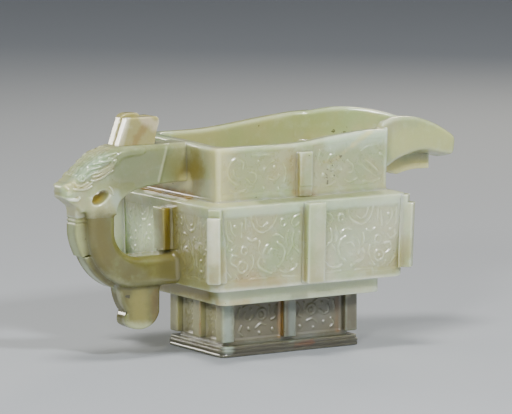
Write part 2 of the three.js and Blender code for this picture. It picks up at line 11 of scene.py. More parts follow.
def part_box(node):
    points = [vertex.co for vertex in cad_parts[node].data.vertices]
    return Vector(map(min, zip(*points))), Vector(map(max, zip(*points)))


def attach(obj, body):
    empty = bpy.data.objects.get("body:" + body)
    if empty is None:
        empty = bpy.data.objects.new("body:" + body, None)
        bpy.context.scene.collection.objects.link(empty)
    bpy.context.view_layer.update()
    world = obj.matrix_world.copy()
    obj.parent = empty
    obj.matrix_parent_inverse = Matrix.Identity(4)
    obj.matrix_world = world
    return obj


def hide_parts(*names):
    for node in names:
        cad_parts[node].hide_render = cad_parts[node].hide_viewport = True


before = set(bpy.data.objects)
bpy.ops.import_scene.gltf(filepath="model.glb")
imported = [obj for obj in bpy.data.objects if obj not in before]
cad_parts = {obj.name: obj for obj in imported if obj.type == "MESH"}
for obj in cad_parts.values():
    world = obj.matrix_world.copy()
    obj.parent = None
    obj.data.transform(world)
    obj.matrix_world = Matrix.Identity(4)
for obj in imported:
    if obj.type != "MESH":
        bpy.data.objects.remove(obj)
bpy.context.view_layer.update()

# Studio: the vessel stands on a pale sweep of paper that rises behind it. Five soft boxes light it,
# one overhead, one in front, two at the left and one behind at the right, in a pale grey room.
MM = 0.001


def linear(hex_colour):
    """A colour written as sRGB hex, as the linear values that the shaders take."""
    channels = [int(hex_colour[i:i + 2], 16) / 255 for i in (1, 3, 5)]
    return [c / 12.92 if c <= 0.04045 else ((c + 0.055) / 1.055) ** 2.4 for c in channels] + [1.0]


def add_node(tree, kind, settings=None, links=None):
    """A shader node with its settings, its unlinked inputs and the sockets that feed it."""
    node = tree.nodes.new(kind)
    for name, value in (settings or {}).items():
        if isinstance(name, int) or name in node.inputs:
            node.inputs[name].default_value = value
        else:
            setattr(node, name, value)
    for name, source in (links or {}).items():
        tree.links.new(source, node.inputs[name])
    return node


plinth_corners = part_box("foot_plinth")
foot_middle = (plinth_corners[0][0] + plinth_corners[1][0]) / 2


def new_material(name):
    material = bpy.data.materials.new(name)
    material.use_nodes = True
    material.node_tree.nodes.clear()
    return material, material.node_tree


def mesh_object(name, vertices_mm, faces):
    """A smooth-shaded mesh, its points given in millimetres from the middle of the foot."""
    mesh = bpy.data.meshes.new(name)
    points = np.asarray(vertices_mm, float) * MM + [foot_middle, 0, 0]
    mesh.from_pydata(points.tolist(), [], faces)
    mesh.validate()
    mesh.shade_smooth()
    piece = bpy.data.objects.new(name, mesh)
    bpy.context.scene.collection.objects.link(piece)
    return piece


paper, paper_tree = new_material("matt_studio_paper")
paper_shader = add_node(paper_tree, "ShaderNodeBsdfPrincipled",
                        {"Base Color": linear("#abb0b7"), "Roughness": 0.9})
add_node(paper_tree, "ShaderNodeOutputMaterial", links={"Surface": paper_shader.outputs[0]})

sweep_front, sweep_bend, sweep_curve, sweep_half = -3200, 2400, 900, 3400
sweep_rows = [(depth, 0) for depth in range(sweep_front, sweep_bend + 1, 100)]
for i in range(1, 21):
    turn = i / 20 * math.pi / 2
    sweep_rows.append((sweep_bend + sweep_curve * math.sin(turn), sweep_curve * (1 - math.cos(turn))))
sweep_rows += [(sweep_bend + sweep_curve, sweep_curve + 150 * i) for i in range(1, 8)]
view_turn = math.radians(32.0575)
sweep_points = [(along * math.cos(view_turn) + depth * math.sin(view_turn),
                 -along * math.sin(view_turn) + depth * math.cos(view_turn), height)
                for along in (-sweep_half, sweep_half) for depth, height in sweep_rows]
count = len(sweep_rows)
sweep = mesh_object("studio_sweep", sweep_points,
                    [(i, i + 1, count + i + 1, count + i) for i in range(count - 1)])
sweep.data.materials.append(paper)

world = bpy.data.worlds.new("pale_room")
world.use_nodes = True
world.node_tree.nodes["Background"].inputs["Color"].default_value = linear("#cfd2d4")
world.node_tree.nodes["Background"].inputs["Strength"].default_value = 0.34
bpy.context.scene.world = world


def soft_box(name, place, aim, width, height, power, colour):
    """A rectangular soft light at a place in metres, turned to face a point."""
    lamp = bpy.data.lights.new(name, "AREA")
    lamp.shape = "RECTANGLE"
    lamp.size, lamp.size_y = width, height
    lamp.energy = power
    lamp.color = linear(colour)[:3]
    holder = bpy.data.objects.new(name, lamp)
    holder.location = place
    holder.rotation_euler = (Vector(aim) - Vector(place)).to_track_quat("-Z", "Y").to_euler()
    holder.visible_camera = False
    bpy.context.scene.collection.objects.link(holder)


vessel_middle = (0, 0, 0.045)
soft_box("overhead_soft_box", (-0.16, -0.14, 0.9), vessel_middle, 0.22, 0.22, 5.6, "#fffbf4")
soft_box("left_back_soft_box", (-0.52, 0.86, 0.30), vessel_middle, 0.24, 0.24, 3.4, "#fffaee")
soft_box("left_front_soft_box", (-0.68, -0.70, 0.42), vessel_middle, 0.11, 0.11, 5.0, "#fffdf6")
soft_box("right_back_soft_box", (0.6, 0.6, 0.5), vessel_middle, 0.22, 0.34, 2.2, "#fff3da")
soft_box("front_soft_box", (0.12, -0.9, 0.68), vessel_middle, 0.12, 0.12, 9.8, "#ffffff")

# Camera: a long lens, placed by fitting the vessel's straight edges and corners to the photograph.
# Its distance and target are in mm, and its focal length is in pixels of the photograph's frame.
view_rise = math.radians(7.555)
view_distance = 1660.71
sight = Vector((-math.sin(view_turn) * math.cos(view_rise),
                -math.cos(view_turn) * math.cos(view_rise), math.sin(view_rise)))
across = Vector((math.cos(view_turn), -math.sin(view_turn), 0))
target = across * -2.822 + Vector((0, 0, 51.933))
frame_width, focal_length = 512, 4450.38
camera_data = bpy.data.cameras.new("camera")
camera_data.sensor_width = 36
camera_data.lens = focal_length / frame_width * camera_data.sensor_width
camera_data.clip_end = 20
camera = bpy.data.objects.new("camera", camera_data)
place = (target + sight * view_distance) * MM + Vector((foot_middle, 0, 0))
camera.matrix_world = Matrix.Translation(place) @ Matrix(
    (across, sight.cross(across), sight)).transposed().to_4x4()
bpy.context.scene.collection.objects.link(camera)
bpy.context.scene.camera = camera


# Foot: a stepped plinth sawn and ground from the grey end of the boulder, with a rectangular hollow
# underneath. Nephrite is a felt of fine fibres: light goes a few millimetres in and comes back soft.
def rounded_ring(half_length, half_width, radius, counts):
    """Points and outward normals round a rectangle with round corners, anticlockwise from above.

    counts gives the points along a long side, along a short side and round a corner. The third
    array holds each point's place along its own side, to the right as that side is faced, and the
    fourth the side: 0 front, 1 right, 2 back, 3 left, or -1 on a corner.
    """
    straight_x, straight_y = half_length - radius, half_width - radius
    points, normals, along, side = [], [], [], []
    for quarter in range(4):
        turn = quarter * math.pi / 2
        reach, out = (straight_x, half_width) if quarter % 2 == 0 else (straight_y, half_length)
        count = counts[quarter % 2]
        for i in range(count):
            s = -reach + 2 * reach * i / count
            points.append((s * math.cos(turn) + out * math.sin(turn),
                           s * math.sin(turn) - out * math.cos(turn)))
            normals.append((math.sin(turn), -math.cos(turn)))
            along.append(s)
            side.append(quarter)
        for i in range(counts[2]):
            angle = turn - math.pi / 2 + math.pi / 2 * i / counts[2]
            corner = (reach, -(out - radius))
            middle = (corner[0] * math.cos(turn) - corner[1] * math.sin(turn),
                      corner[0] * math.sin(turn) + corner[1] * math.cos(turn))
            points.append((middle[0] + radius * math.cos(angle), middle[1] + radius * math.sin(angle)))
            normals.append((math.cos(angle), math.sin(angle)))
            along.append(reach + radius * i / counts[2])
            side.append(-1)
    return np.array(points), np.array(normals), np.array(along), np.array(side)


def turned_block(name, rows, counts, relief=None, ring_shaped=False):
    """A block whose plan is a round-cornered rectangle at every level.

    rows are (half length, half width, corner radius, height, carved), lowest outer row first;
    relief(side, along, height) is the carver's height in mm, laid on the rows marked carved. A
    ring-shaped block closes on its first row instead of being capped.
    """
    points, ground = [], []
    for half_length, half_width, radius, height, carved_row in rows:
        plan, normals, along, side = rounded_ring(half_length, half_width, radius, counts)
        depth = np.zeros(len(plan))
        if carved_row and relief:
            depth = relief(side, along, np.full(len(plan), height))
        plan = plan + normals * depth[:, None]
        points.append(np.column_stack([plan, np.full(len(plan), height)]))
        ground.append(np.clip(-depth / 0.24, 0, 1))
    around = len(points[0])
    index = np.arange(len(rows) * around).reshape(len(rows), around)
    lower, upper = (index, np.roll(index, -1, 0)) if ring_shaped else (index[:-1], index[1:])
    quads = np.stack([lower, np.roll(lower, -1, 1), np.roll(upper, -1, 1), upper], -1)
    faces = quads.reshape(-1, 4).tolist()
    if not ring_shaped:
        faces += [index[0][::-1].tolist(), index[-1].tolist()]
    block = mesh_object(name, np.concatenate(points), faces)
    depth_layer = block.data.attributes.new("ground", "FLOAT", "POINT")
    depth_layer.data.foreach_set("value", np.concatenate(ground))
    return block


def quadratic(a, b, c, steps=8):
    """Points of a curve from a to c that bends towards b."""
    return [tuple((1 - t) ** 2 * p + 2 * t * (1 - t) * q + t * t * r for p, q, r in zip(a, b, c))
            for t in (i / steps for i in range(steps + 1))]


def rounded_edge(start, corner, end, steps=4):
    """Steps that turn from one level to the next by a softened corner, each (inset, height)."""
    return quadratic(start, corner, end, steps)


def rows_at(length, width, radius, steps, carved=False):
    """Rows of a block, set in by each step's inset at its height. radius may follow the inset."""
    return [(length - inset, width - inset, radius(inset) if callable(radius) else radius, height, carved)
            for inset, height in steps]


def line_distance(tree, place, start, end):
    """Distance in mm of the shaded point from the line between two points in mm."""
    first = np.array(start) * MM + [foot_middle, 0, 0]
    run = (np.array(end, float) - np.array(start, float)) * MM
    offset = add_node(tree, "ShaderNodeVectorMath", {"operation": "SUBTRACT", 1: first.tolist()},
                      {0: place})
    share = add_node(tree, "ShaderNodeVectorMath", {
        "operation": "DOT_PRODUCT", 1: (run / float(run @ run)).tolist()}, {0: offset.outputs[0]})
    held = add_node(tree, "ShaderNodeClamp", links={"Value": share.outputs["Value"]})
    step = add_node(tree, "ShaderNodeVectorMath", {"operation": "SCALE", 0: run.tolist()},
                    {"Scale": held.outputs[0]})
    beside = add_node(tree, "ShaderNodeVectorMath", {"operation": "SUBTRACT"},
                      {0: offset.outputs[0], 1: step.outputs[0]})
    return add_node(tree, "ShaderNodeVectorMath", {"operation": "LENGTH"},
                    {0: beside.outputs[0]}).outputs["Value"]


# Colours laid on the stone at certain places. Some the boulder itself has: olive where the light goes
# deep, russet and orange iron stains along old cracks, and near-black flecks. Others are painted light
# and painted shade, each marked. Each is (from, to, reach, colour, strength, raggedness), in mm from
# the middle of the foot.
boulder_stains_and_painted_light = [
    # partly the mane's own pale colour, partly painted light on the upper near side of the head
    ((-87, -5, 68), (-74, -6.5, 75.5), 6.0, "#a9bfa2", 0.85, 0.3),
    ((-92, -4, 66), (-87, -5, 63.5), 4.5, "#bfcfa6", 0.8, 0.3),
    ((-76, -7, 69), (-70, -7, 72), 2.6, "#bfa982", 0.4, 0.9),
    ((-87, -6, 66), (-80, -6, 66), 2.6, "#c4b08c", 0.35, 0.9),
    ((-75, -5, 52.5), (-68.6, -5, 52.5), 7.4, "#746f38", 0.95, 0.3),
    ((-75, 5, 52.5), (-68.6, 5, 52.5), 7.4, "#746f38", 0.95, 0.3),
    # painted shade: olive on the near side of the left end's rib
    ((-46.4, -4.6, 36), (-46.4, -4.6, 57), 6.0, "#7e742a", 0.9, 0.2),
    ((-43.5, -9, 33), (-43.5, 9, 33), 13, "#8b8552", 0.85, 0.25),
    # painted light: near-white on the front-left corner rib's face
    ((-45.6, -37.5, 40), (-45.6, -37.5, 58), 5.4, "#fdfbe6", 1.0, 0.15),
    # painted light inside the drilled mouth
    ((-74.4, -2.6, 61.3), (-74.4, 6, 61.3), 5.4, "#d8c64c", 1.0, 0.1),
    # painted highlight on the right rim of the drilled mouth
    ((-70.0, -7.2, 64.2), (-69.4, -7.2, 62.6), 0.9, "#f2f5ea", 0.85, 0.2),
    # painted highlight along the lower lip
    ((-90, -4.6, 62), (-83, -5.6, 60.9), 0.9, "#eef3e0", 0.8, 0.15),
    ((-89, -4.5, 69), (-85, -5, 66.5), 4.0, "#cfcb98", 0.65, 0.5),
    ((-43, -22, 36), (-43, 4, 48), 16, "#8f8a50", 0.62, 0.25),
    ((-38, -12, 68), (-38, 12, 68), 12, "#857e3a", 0.6, 0.25),
    ((-61, -7, 70), (-47, -7, 71), 17, "#6b6f45", 0.68, 0.2),
    ((-68.5, -7, 61.5), (-66.5, -7, 57), 3.4, "#b6c4b4", 0.7, 0.4),
    # painted highlight along the slanting arris of the bridge
    ((-45.9, -7.2, 79), (-49.6, -7.2, 66), 1.0, "#d3d9be", 0.35, 0.4),
    ((-37.6, -12, 62), (-37.6, -13, 75), 5.5, "#857a30", 0.55, 0.3),
    # painted light: pale mint on the far half of the belly's left wall, behind the loop
    ((-43.5, 9, 44), (-43.5, 34, 44), 12, "#e6f8ca", 1.0, 0.2),
    ((-36, -16, 24), (-36, 22, 24), 6.6, "#817408", 0.9, 0.25),
    ((-39, -16, 70), (-38, -8, 68), 6, "#8c7c34", 0.5, 0.4),
    # painted light: cream on the neck's end wall in the bridge's shadow
    ((-37.8, -7, 64.6), (-37.8, 22, 64.2), 4.6, "#d8d49a", 0.85, 0.3),
    # painted shade: warm brown band at the foot of the neck's end wall, under the bridge
    ((-37.8, -10, 59.4), (-37.8, 27, 59.4), 3.0, "#8c7010", 0.95, 0.35),
    ((-37.2, -28, 61), (-37.2, -28, 77), 9, "#d6d4a0", 0.8, 0.3),
    # painted light along the near rim's right part
    ((12, -28.6, 78.2), (37, -28.6, 79.6), 5.0, "#cfe2cd", 0.65, 0.3),
    # painted highlight up the neck's front-right corner
    ((37.6, -28.4, 62), (37.6, -28.4, 80), 1.6, "#e6eedd", 0.8, 0.4),
    ((28.2, -28.6, 80.8), (21.2, -28.6, 75.5), 1.7, "#a59c50", 0.6, 0.8),
    ((29.4, -28.6, 81.6), (21.6, -28.6, 76.4), 1.9, "#e2e2ae", 0.9, 0.5),
    ((21.2, -28.6, 75.7), (14.6, -28.6, 71.7), 1.3, "#a29548", 0.6, 0.8),
    ((21.6, -28.6, 76.6), (15.0, -28.6, 72.4), 1.5, "#dcd89c", 0.85, 0.5),
    ((14.6, -28.6, 72), (9.5, -28.6, 70.8), 1.9, "#b1a566", 0.6, 0.7),
    ((4.6, -28.5, 59.6), (-4.5, -28, 60.4), 2.4, "#a8793e", 0.4, 0.8),
    ((-3.4, -28.5, 62), (-4.8, -28, 72), 4.2, "#94823a", 0.6, 0.6),
    ((0, -38, 44), (0, -38, 56), 6, "#e0e6cc", 0.35, 0.2),
    ((-30, -28.5, 66), (-12, -28.5, 72), 11, "#b2af76", 0.38, 0.3),
    # painted highlight along the belly's bottom edge
    ((-40, -34.2, 26.4), (42, -34.2, 26.4), 2.6, "#f4f8e0", 0.9, 0.2),
    ((-36, -34.2, 56), (40, -34.2, 56), 3.0, "#c9dac6", 0.55, 0.4),
    # painted shade: brown on the left side of the belly's front rib
    ((-4.0, -34.4, 30), (-4.1, -34.4, 55), 2.4, "#938648", 0.5, 0.5),
    ((-41, -33, 31), (-39.5, -36, 41), 4.5, "#b08c52", 0.25, 0.8),
    ((-30, -34, 31), (-14, -34, 29.5), 4.5, "#b39465", 0.42, 0.9),
    ((38, -34, 31), (41, -34, 40), 4.5, "#a3935c", 0.5, 0.7),
    ((-20, -31, 58.6), (30, -31, 58.6), 4.0, "#7d825c", 0.74, 0.3),
    ((45.4, -37.4, 38), (45.4, -37.4, 58), 4.6, "#b6b378", 0.5, 0.2),
    ((9, -19.2, 7), (19, -19.2, 16), 8, "#6d7476", 0.35, 0.3),
    ((10, -34.4, 36), (36, -34.4, 50), 15, "#e4ead8", 0.35, 0.3),
    ((-20, 23.5, 75), (44, 23.5, 78), 11, "#a5a45c", 0.45, 0.3),
    # painted light on the top of the foot's front wall, in the waist's shadow
    ((-24, -19.6, 20), (25, -19.6, 20), 2.8, "#aaa084", 0.6, 0.3),
    # painted shade: olive on the near side of the left end's rib and in the corner at its root
    ((-44.0, -4.2, 38), (-44.0, -4.2, 55), 2.2, "#6e5c00", 1.0, 0.2),
    ((-43.6, -6, 38), (-43.6, -6, 56), 3.6, "#857a20", 0.7, 0.3),
    # painted light on the waist's front, in the belly's shadow
    ((-33, -27, 24.6), (32, -27, 24.6), 4.0, "#e2eccf", 0.6, 0.3),
    ((-35, -24, 21.4), (-24, -27, 21), 3.0, "#c0a060", 0.5, 0.6),
    ((-28, -6, 8), (-28, -9, 18), 3.5, "#8d7434", 0.6, 0.7),
    ((-30, 15, 12), (-30, -13, 12), 11, "#b2b086", 0.85, 0.35),
    ((-28, -20, 1.6), (28, -20, 1.6), 4.4, "#4c493e", 0.75, 0.3),
    # painted light on the keel, which hangs in the spout's shadow
    ((42, 0, 64), (72, 0, 62), 7, "#f2ea9e", 0.95, 0.15),
    ((46, -20, 75), (78, -9, 74), 11, "#d4d994", 0.65, 0.3),
    # painted shade: warm brown on the near side of the foot's left rib
    ((-30, -3.4, 7), (-30, -3.4, 18), 1.7, "#9a6420", 0.8, 0.6),
    # painted shade: warm brown on the left sides of the foot's front rib and front-right post
    ((-3.2, -17, 6), (-3.2, -17, 20), 1.7, "#94702c", 0.85, 0.5),
    ((22.4, -17, 6), (22.4, -17, 20), 1.8, "#846038", 0.75, 0.5),
    ((2, -19.6, 2.4), (9, -19.6, 2.9), 1.7, "#6b4630", 0.6, 0.9),
    ((0.6, -19, 5), (0.6, -19, 20), 2.4, "#8b9890", 0.6, 0.2),
    ((-27.4, -19.6, 4), (-27.4, -19.6, 21), 3.6, "#9dab9f", 0.85, 0.3),
]
fleck_colour, ground_dust = "#3d3a26", "#a9a48a"
dark_flecks = [
    ((11, -28, 63), (15, -28, 72), 5.5),
    ((36, -34, 37.2), (42, -34, 36.4), 1.3),
    ((34.6, 23.5, 76.4), (36.4, 23, 76.4), 1.8),
    ((43, 18.4, 75.6), (50, 16, 76), 3.4),
    ((-62, -4, 14), (-61, -4, 24), 3.0),
]


def nephrite(name, body, cloud, bright, edge, crevice_shade, roughness, stains_and_painted_light, depth_mm):
    """Nephrite ground smooth and polished by hand on leather: a waxy gloss, cloudy inside.

    Edges that stand out are painted lighter in the edge colour, a painted glow, and hollows are
    painted darker in the crevice colour, painted shade.

    Its clouds are 20 mm and 5 mm across, laid-on colours fray at 3.5 mm and flecks are 1.6 mm. Its fibre
    bundles are about 0.1 mm thick and are drawn at 0.8 mm, so that they show.
    """
    material, tree = new_material(name)
    place = add_node(tree, "ShaderNodeTexCoord").outputs["Object"]
    ragged, big, small, fibre, spots = [
        add_node(tree, "ShaderNodeTexNoise", {"Scale": 1 / (size * MM), **grade}, {"Vector": place})
        for size, grade in ((3.5, {"Detail": 4, "Roughness": 0.6}),
                            (20, {"Detail": 5, "Roughness": 0.55, "Distortion": 0.6}),
                            (5, {"Detail": 4, "Roughness": 0.6}), (0.8, {"Detail": 3, "Roughness": 0.7}),
                            (1.6, {"Detail": 2}))]

    # the body's clouds, a painted glow on edges that stand out and painted shade in crevices
    cloudy = add_node(tree, "ShaderNodeMapRange", {"From Min": 0.35, "From Max": 0.65,
                                                   "interpolation_type": "SMOOTHSTEP"},
                      {"Value": big.outputs["Fac"]})
    colour = add_node(tree, "ShaderNodeMix", {"data_type": "RGBA", 6: linear(body), 7: linear(cloud)},
                      {0: cloudy.outputs[0]}).outputs[2]
    milky = add_node(tree, "ShaderNodeMapRange", {"From Min": 0.5, "From Max": 0.74, "To Max": 0.4,
                                                  "interpolation_type": "SMOOTHSTEP"},
                     {"Value": small.outputs["Fac"]})
    proud = add_node(tree, "ShaderNodeAttribute", {"attribute_name": "proud"})
    uneven = add_node(tree, "ShaderNodeMath", {"operation": "MULTIPLY"},
                      {0: proud.outputs["Fac"], 1: big.outputs["Fac"]})
    # painted glow: edges that stand out are painted lighter in the edge colour
    painted_edge_glow = add_node(tree, "ShaderNodeMapRange", {"From Min": 0.06, "From Max": 0.5, "To Max": 0.42},
                           {"Value": uneven.outputs[0]})
    # painted shade: hollows are painted darker in the crevice colour
    painted_crevice_shade = add_node(tree, "ShaderNodeMapRange", {"From Min": -0.12, "From Max": -0.9, "To Max": 0.45},
                    {"Value": proud.outputs["Fac"]})
    layers = [(milky, bright), (painted_edge_glow, edge), (painted_crevice_shade, crevice_shade)]

    # stains, painted light and painted shade that fray at their borders, then flecks that gather along a few
    # lines
    for start, end, reach, stain_and_light_colour, strength, broken in stains_and_painted_light:
        distance = line_distance(tree, place, start, end)
        torn = add_node(tree, "ShaderNodeMath", {
            "operation": "MULTIPLY_ADD", 1: broken * reach * MM * 2, 2: -broken * reach * MM},
            {0: ragged.outputs["Fac"]})
        reached = add_node(tree, "ShaderNodeMath", {"operation": "ADD"},
                           {0: distance, 1: torn.outputs[0]})
        amount = add_node(tree, "ShaderNodeMapRange", {
            "interpolation_type": "SMOOTHSTEP", "From Min": reach * MM, "From Max": reach * MM * 0.2,
            "To Max": strength}, {"Value": reached.outputs[0]})
        layers.append((amount, stain_and_light_colour))
    for start, end, reach in dark_flecks:
        distance = line_distance(tree, place, start, end)
        near = add_node(tree, "ShaderNodeMapRange", {
            "From Min": reach * MM, "From Max": 0, "To Max": 0.2}, {"Value": distance})
        lifted = add_node(tree, "ShaderNodeMath", {"operation": "ADD"},
                          {0: spots.outputs["Fac"], 1: near.outputs[0]})
        fleck = add_node(tree, "ShaderNodeMapRange", {
            "interpolation_type": "SMOOTHSTEP", "From Min": 0.76, "From Max": 0.82, "To Max": 0.8},
            {"Value": lifted.outputs[0]})
        layers.append((fleck, fleck_colour))
    for amount, tint in layers:
        colour = add_node(tree, "ShaderNodeMix", {"data_type": "RGBA", 7: linear(tint)},
                          {0: amount.outputs[0], 6: colour}).outputs[2]

    # the fibres, and the carved ground, which the polish reaches less well
    felted = add_node(tree, "ShaderNodeMapRange", {"To Min": 0.92, "To Max": 1.08},
                      {"Value": fibre.outputs["Fac"]})
    colour = add_node(tree, "ShaderNodeVectorMath", {"operation": "SCALE"},
                      {0: colour, "Scale": felted.outputs[0]}).outputs[0]
    ground = add_node(tree, "ShaderNodeAttribute", {"attribute_name": "ground"})
    dulled = add_node(tree, "ShaderNodeMath", {"operation": "MULTIPLY", 1: 0.12},
                      {0: ground.outputs["Fac"]})
    colour = add_node(tree, "ShaderNodeMix", {"data_type": "RGBA", 7: linear(ground_dust)},
                      {0: dulled.outputs[0], 6: colour}).outputs[2]
    matt = add_node(tree, "ShaderNodeMath", {"operation": "MULTIPLY_ADD", 1: 0.14, 2: roughness},
                    {0: ground.outputs["Fac"]})
    polish = add_node(tree, "ShaderNodeMath", {"operation": "MULTIPLY_ADD", 1: 0.10},
                      {0: ragged.outputs["Fac"], 2: matt.outputs[0]})
    waves = add_node(tree, "ShaderNodeBump", {"Strength": 0.35, "Distance": 0.12 * MM},
                     {"Height": small.outputs["Fac"]})
    tooth = add_node(tree, "ShaderNodeMath", {"operation": "MULTIPLY_ADD", 1: 0.5, 2: 0.12},
                     {0: ground.outputs["Fac"]})
    grain = add_node(tree, "ShaderNodeBump", {"Distance": 0.08 * MM},
                     {"Height": fibre.outputs["Fac"], "Strength": tooth.outputs[0],
                      "Normal": waves.outputs[0]})
    shader = add_node(tree, "ShaderNodeBsdfPrincipled", {
        "IOR": 1.61, "Specular IOR Level": 0.8, "Subsurface Weight": 1.0,
        "Subsurface Radius": (1.0, 1.0, 0.75), "Subsurface Scale": depth_mm * MM,
        "Subsurface Anisotropy": 0.3},
        {"Base Color": colour, "Roughness": polish.outputs[0], "Normal": grain.outputs[0]})
    add_node(tree, "ShaderNodeOutputMaterial", links={"Surface": shader.outputs[0]})
    return material


def mark_thin_edges(piece):
    """Store how far each point stands out from its neighbourhood, for painted edge glow and shade.

    The finest relief is evened out first, so that only edges and corners count.
    """
    mesh = piece.data
    count = len(mesh.vertices)
    points, normals = np.empty(count * 3), np.empty(count * 3)
    mesh.vertices.foreach_get("co", points)
    mesh.vertices.foreach_get("normal", normals)
    points, normals = points.reshape(-1, 3) / MM, normals.reshape(-1, 3)
    ends = np.empty(len(mesh.edges) * 2, np.int32)
    mesh.edges.foreach_get("vertices", ends)
    first, second = ends.reshape(-1, 2).T
    pull = 1 / (np.linalg.norm(points[first] - points[second], axis=1) + 0.02)
    shared = np.bincount(first, pull, count) + np.bincount(second, pull, count)
    mean = points
    for turn in range(18):
        if turn == 3:
            evened = mean
        mean = np.stack([(np.bincount(first, mean[second, i] * pull, count)
                          + np.bincount(second, mean[first, i] * pull, count)) / shared
                         for i in range(3)], 1)
    proud = np.clip(((evened - mean) * normals).sum(1) / 0.3, -1, 1)
    layer = mesh.attributes.new("proud", "FLOAT", "POINT")
    layer.data.foreach_set("value", proud.astype(np.float32))


def dressed(piece, nodes, material):
    """A finished piece: its stone, the solids that it stands for and the slot of its finish."""
    mark_thin_edges(piece)
    piece.data.materials.append(material)
    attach(piece, "root")
    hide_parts(*nodes)


def half_size(node):
    """Half length and half width of a solid that is centred on the foot, in mm."""
    low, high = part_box(node)
    return (high[0] - low[0]) / 2 / MM, (high[1] - low[1]) / 2 / MM


def heights(node):
    """Bottom and top of a solid, in mm."""
    low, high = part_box(node)
    return low[2] / MM, high[2] / MM


# The foot's grey nephrite has the least polish: light still goes in, but the gloss is broken up
# Its fourth colour is a painted glow on edges that stand out, its fifth painted shade in hollows.
grey_nephrite = nephrite("grey_nephrite_polished", "#5f5941", "#696552", "#7c8070", "#8f9a8c",
                         "#4c4124", 0.2, boulder_stains_and_painted_light, 4.0)

# The tiers are centred on the foot, so each one's length and width are half of the whole
plinth_length, plinth_width = half_size("foot_plinth")
plinth_top = heights("foot_plinth")[1]
base_height = 2.8
step_inset = 0.5
hollow_length, hollow_width, hollow_radius = 22, 11.5, 3
plinth_outline = [
    *rounded_edge((1.0, 0), (0, 0), (0, 0.5)), (0, 1.05), (0.18, 1.2), (0.18, 1.4), (0, 1.55),
    *rounded_edge((0, base_height - 0.3), (0, base_height), (0.3, base_height)),
    (step_inset, base_height), (step_inset, base_height + 0.15),
    *rounded_edge((step_inset, plinth_top - 0.3), (step_inset, plinth_top),
                  (step_inset + 0.4, plinth_top)),
    (2.5, plinth_top), (4.5, plinth_top)]
plinth_rows = rows_at(plinth_length, plinth_width, lambda inset: 2.4 - min(inset, 1.2), plinth_outline)
plinth_rows += rows_at(hollow_length, hollow_width, hollow_radius, [
    (0, plinth_top), (0, plinth_top - 0.1), (0, 0.4), (-0.1, 0.1), (-0.4, 0)])
plinth = turned_block("foot_plinth_carved", plinth_rows, (90, 60, 8), ring_shaped=True)
dressed(plinth, ["foot_plinth"], grey_nephrite)


# Foot wall: the hollow box between the plinth and the waist, cut from the same grey stone. Its eight
# panels are sunk a little and carry small scrolls and bosses in low relief.
def along_curve(points, steps=6):
    """A smooth line through a few points."""
    p = np.asarray(points, float)
    p = np.vstack([2 * p[0] - p[1], p, 2 * p[-1] - p[-2]])
    t = np.linspace(0, 1, steps, endpoint=False)[:, None]
    parts = [0.5 * (2 * b + (c - a) * t + (2 * a - 5 * b + 4 * c - d) * t ** 2
                    + (3 * b - a - 3 * c + d) * t ** 3) for a, b, c, d in zip(p, p[1:], p[2:], p[3:])]
    return np.vstack([*parts, p[-2:-1]])


def ribbons(u, v, strokes):
    """Height from 0 to 1 of the ribbons that follow the strokes, each (half width, points)."""
    u, v = np.broadcast_arrays(u, v)
    height = np.zeros(u.shape)
    for half, points in strokes:
        line = along_curve(points)
        low, high = line.min(0) - 2 * half, line.max(0) + 2 * half
        near = (u > low[0]) & (u < high[0]) & (v > low[1]) & (v < high[1])
        if not near.any():
            continue
        nearest = np.full(int(near.sum()), 1e9)
        for a, b in zip(line, line[1:]):
            run = b - a
            t = np.clip(((u[near] - a[0]) * run[0] + (v[near] - a[1]) * run[1]) / (run @ run + 1e-9), 0, 1)
            nearest = np.minimum(nearest, np.hypot(u[near] - a[0] - t * run[0], v[near] - a[1] - t * run[1]))
        t = np.clip((half * 1.25 - nearest) / (half * 0.75), 0, 1)
        height[near] = np.maximum(height[near], t * t * (3 - 2 * t))
    return height


def small_ring(u, v, radius, half=0.45):
    turns = np.linspace(0, 2 * math.pi, 13)
    return half, [(u + radius * math.cos(a), v + radius * math.sin(a)) for a in turns]


def small_boss(u, v, half=0.7):
    return half, [(u, v), (u + 0.1, v + 0.1)]


def sunk(u, v, left, right, bottom, top, soft):
    """1 inside a sunk panel, falling to 0 over its sloping edge."""
    edge = np.minimum(np.minimum(u - left, right - u), np.minimum(v - bottom, top - v))
    t = np.clip(edge / soft, 0, 1)
    return t * t * (3 - 2 * t)


foot_bottom, foot_top = heights("foot_wall")
foot_length, foot_width = half_size("foot_wall")
foot_rib_half = 2.6
foot_radius = 1.5
long_panel, short_panel = 23.9, 13.2
foot_carving_rise, foot_ground_depth = 0.4, 0.48
foot_strokes = [
    (0.45, [(4.6, 17.2), (5.8, 15.2), (5.0, 13.2), (6.6, 12.2)]), (0.4, [(7.6, 17.4), (7.8, 14.6)]),
    small_ring(10.9, 14.6, 1.9, 0.5), small_boss(10.9, 14.6, 0.8), small_boss(15.6, 16.6, 0.6),
    (0.45, [(14.6, 14.2), (16.4, 12.6), (18.6, 13.4), (18.2, 15.6)]), (0.4, [(20.6, 17.2), (21.4, 14.2)]),
    (0.4, [(9.0, 10.4), (11.4, 11.0), (13.4, 9.6)]), small_boss(6.0, 8.4, 0.75),
    small_boss(11.8, 7.6, 0.6), small_boss(16.4, 9.4, 0.7), (0.4, [(19.6, 10.6), (20.8, 8.6), (19.4, 7.2)]),
    (0.35, [(13.4, 18.2), (12.2, 17.4)]), (0.35, [(17.4, 18.3), (18.8, 17.6)])]


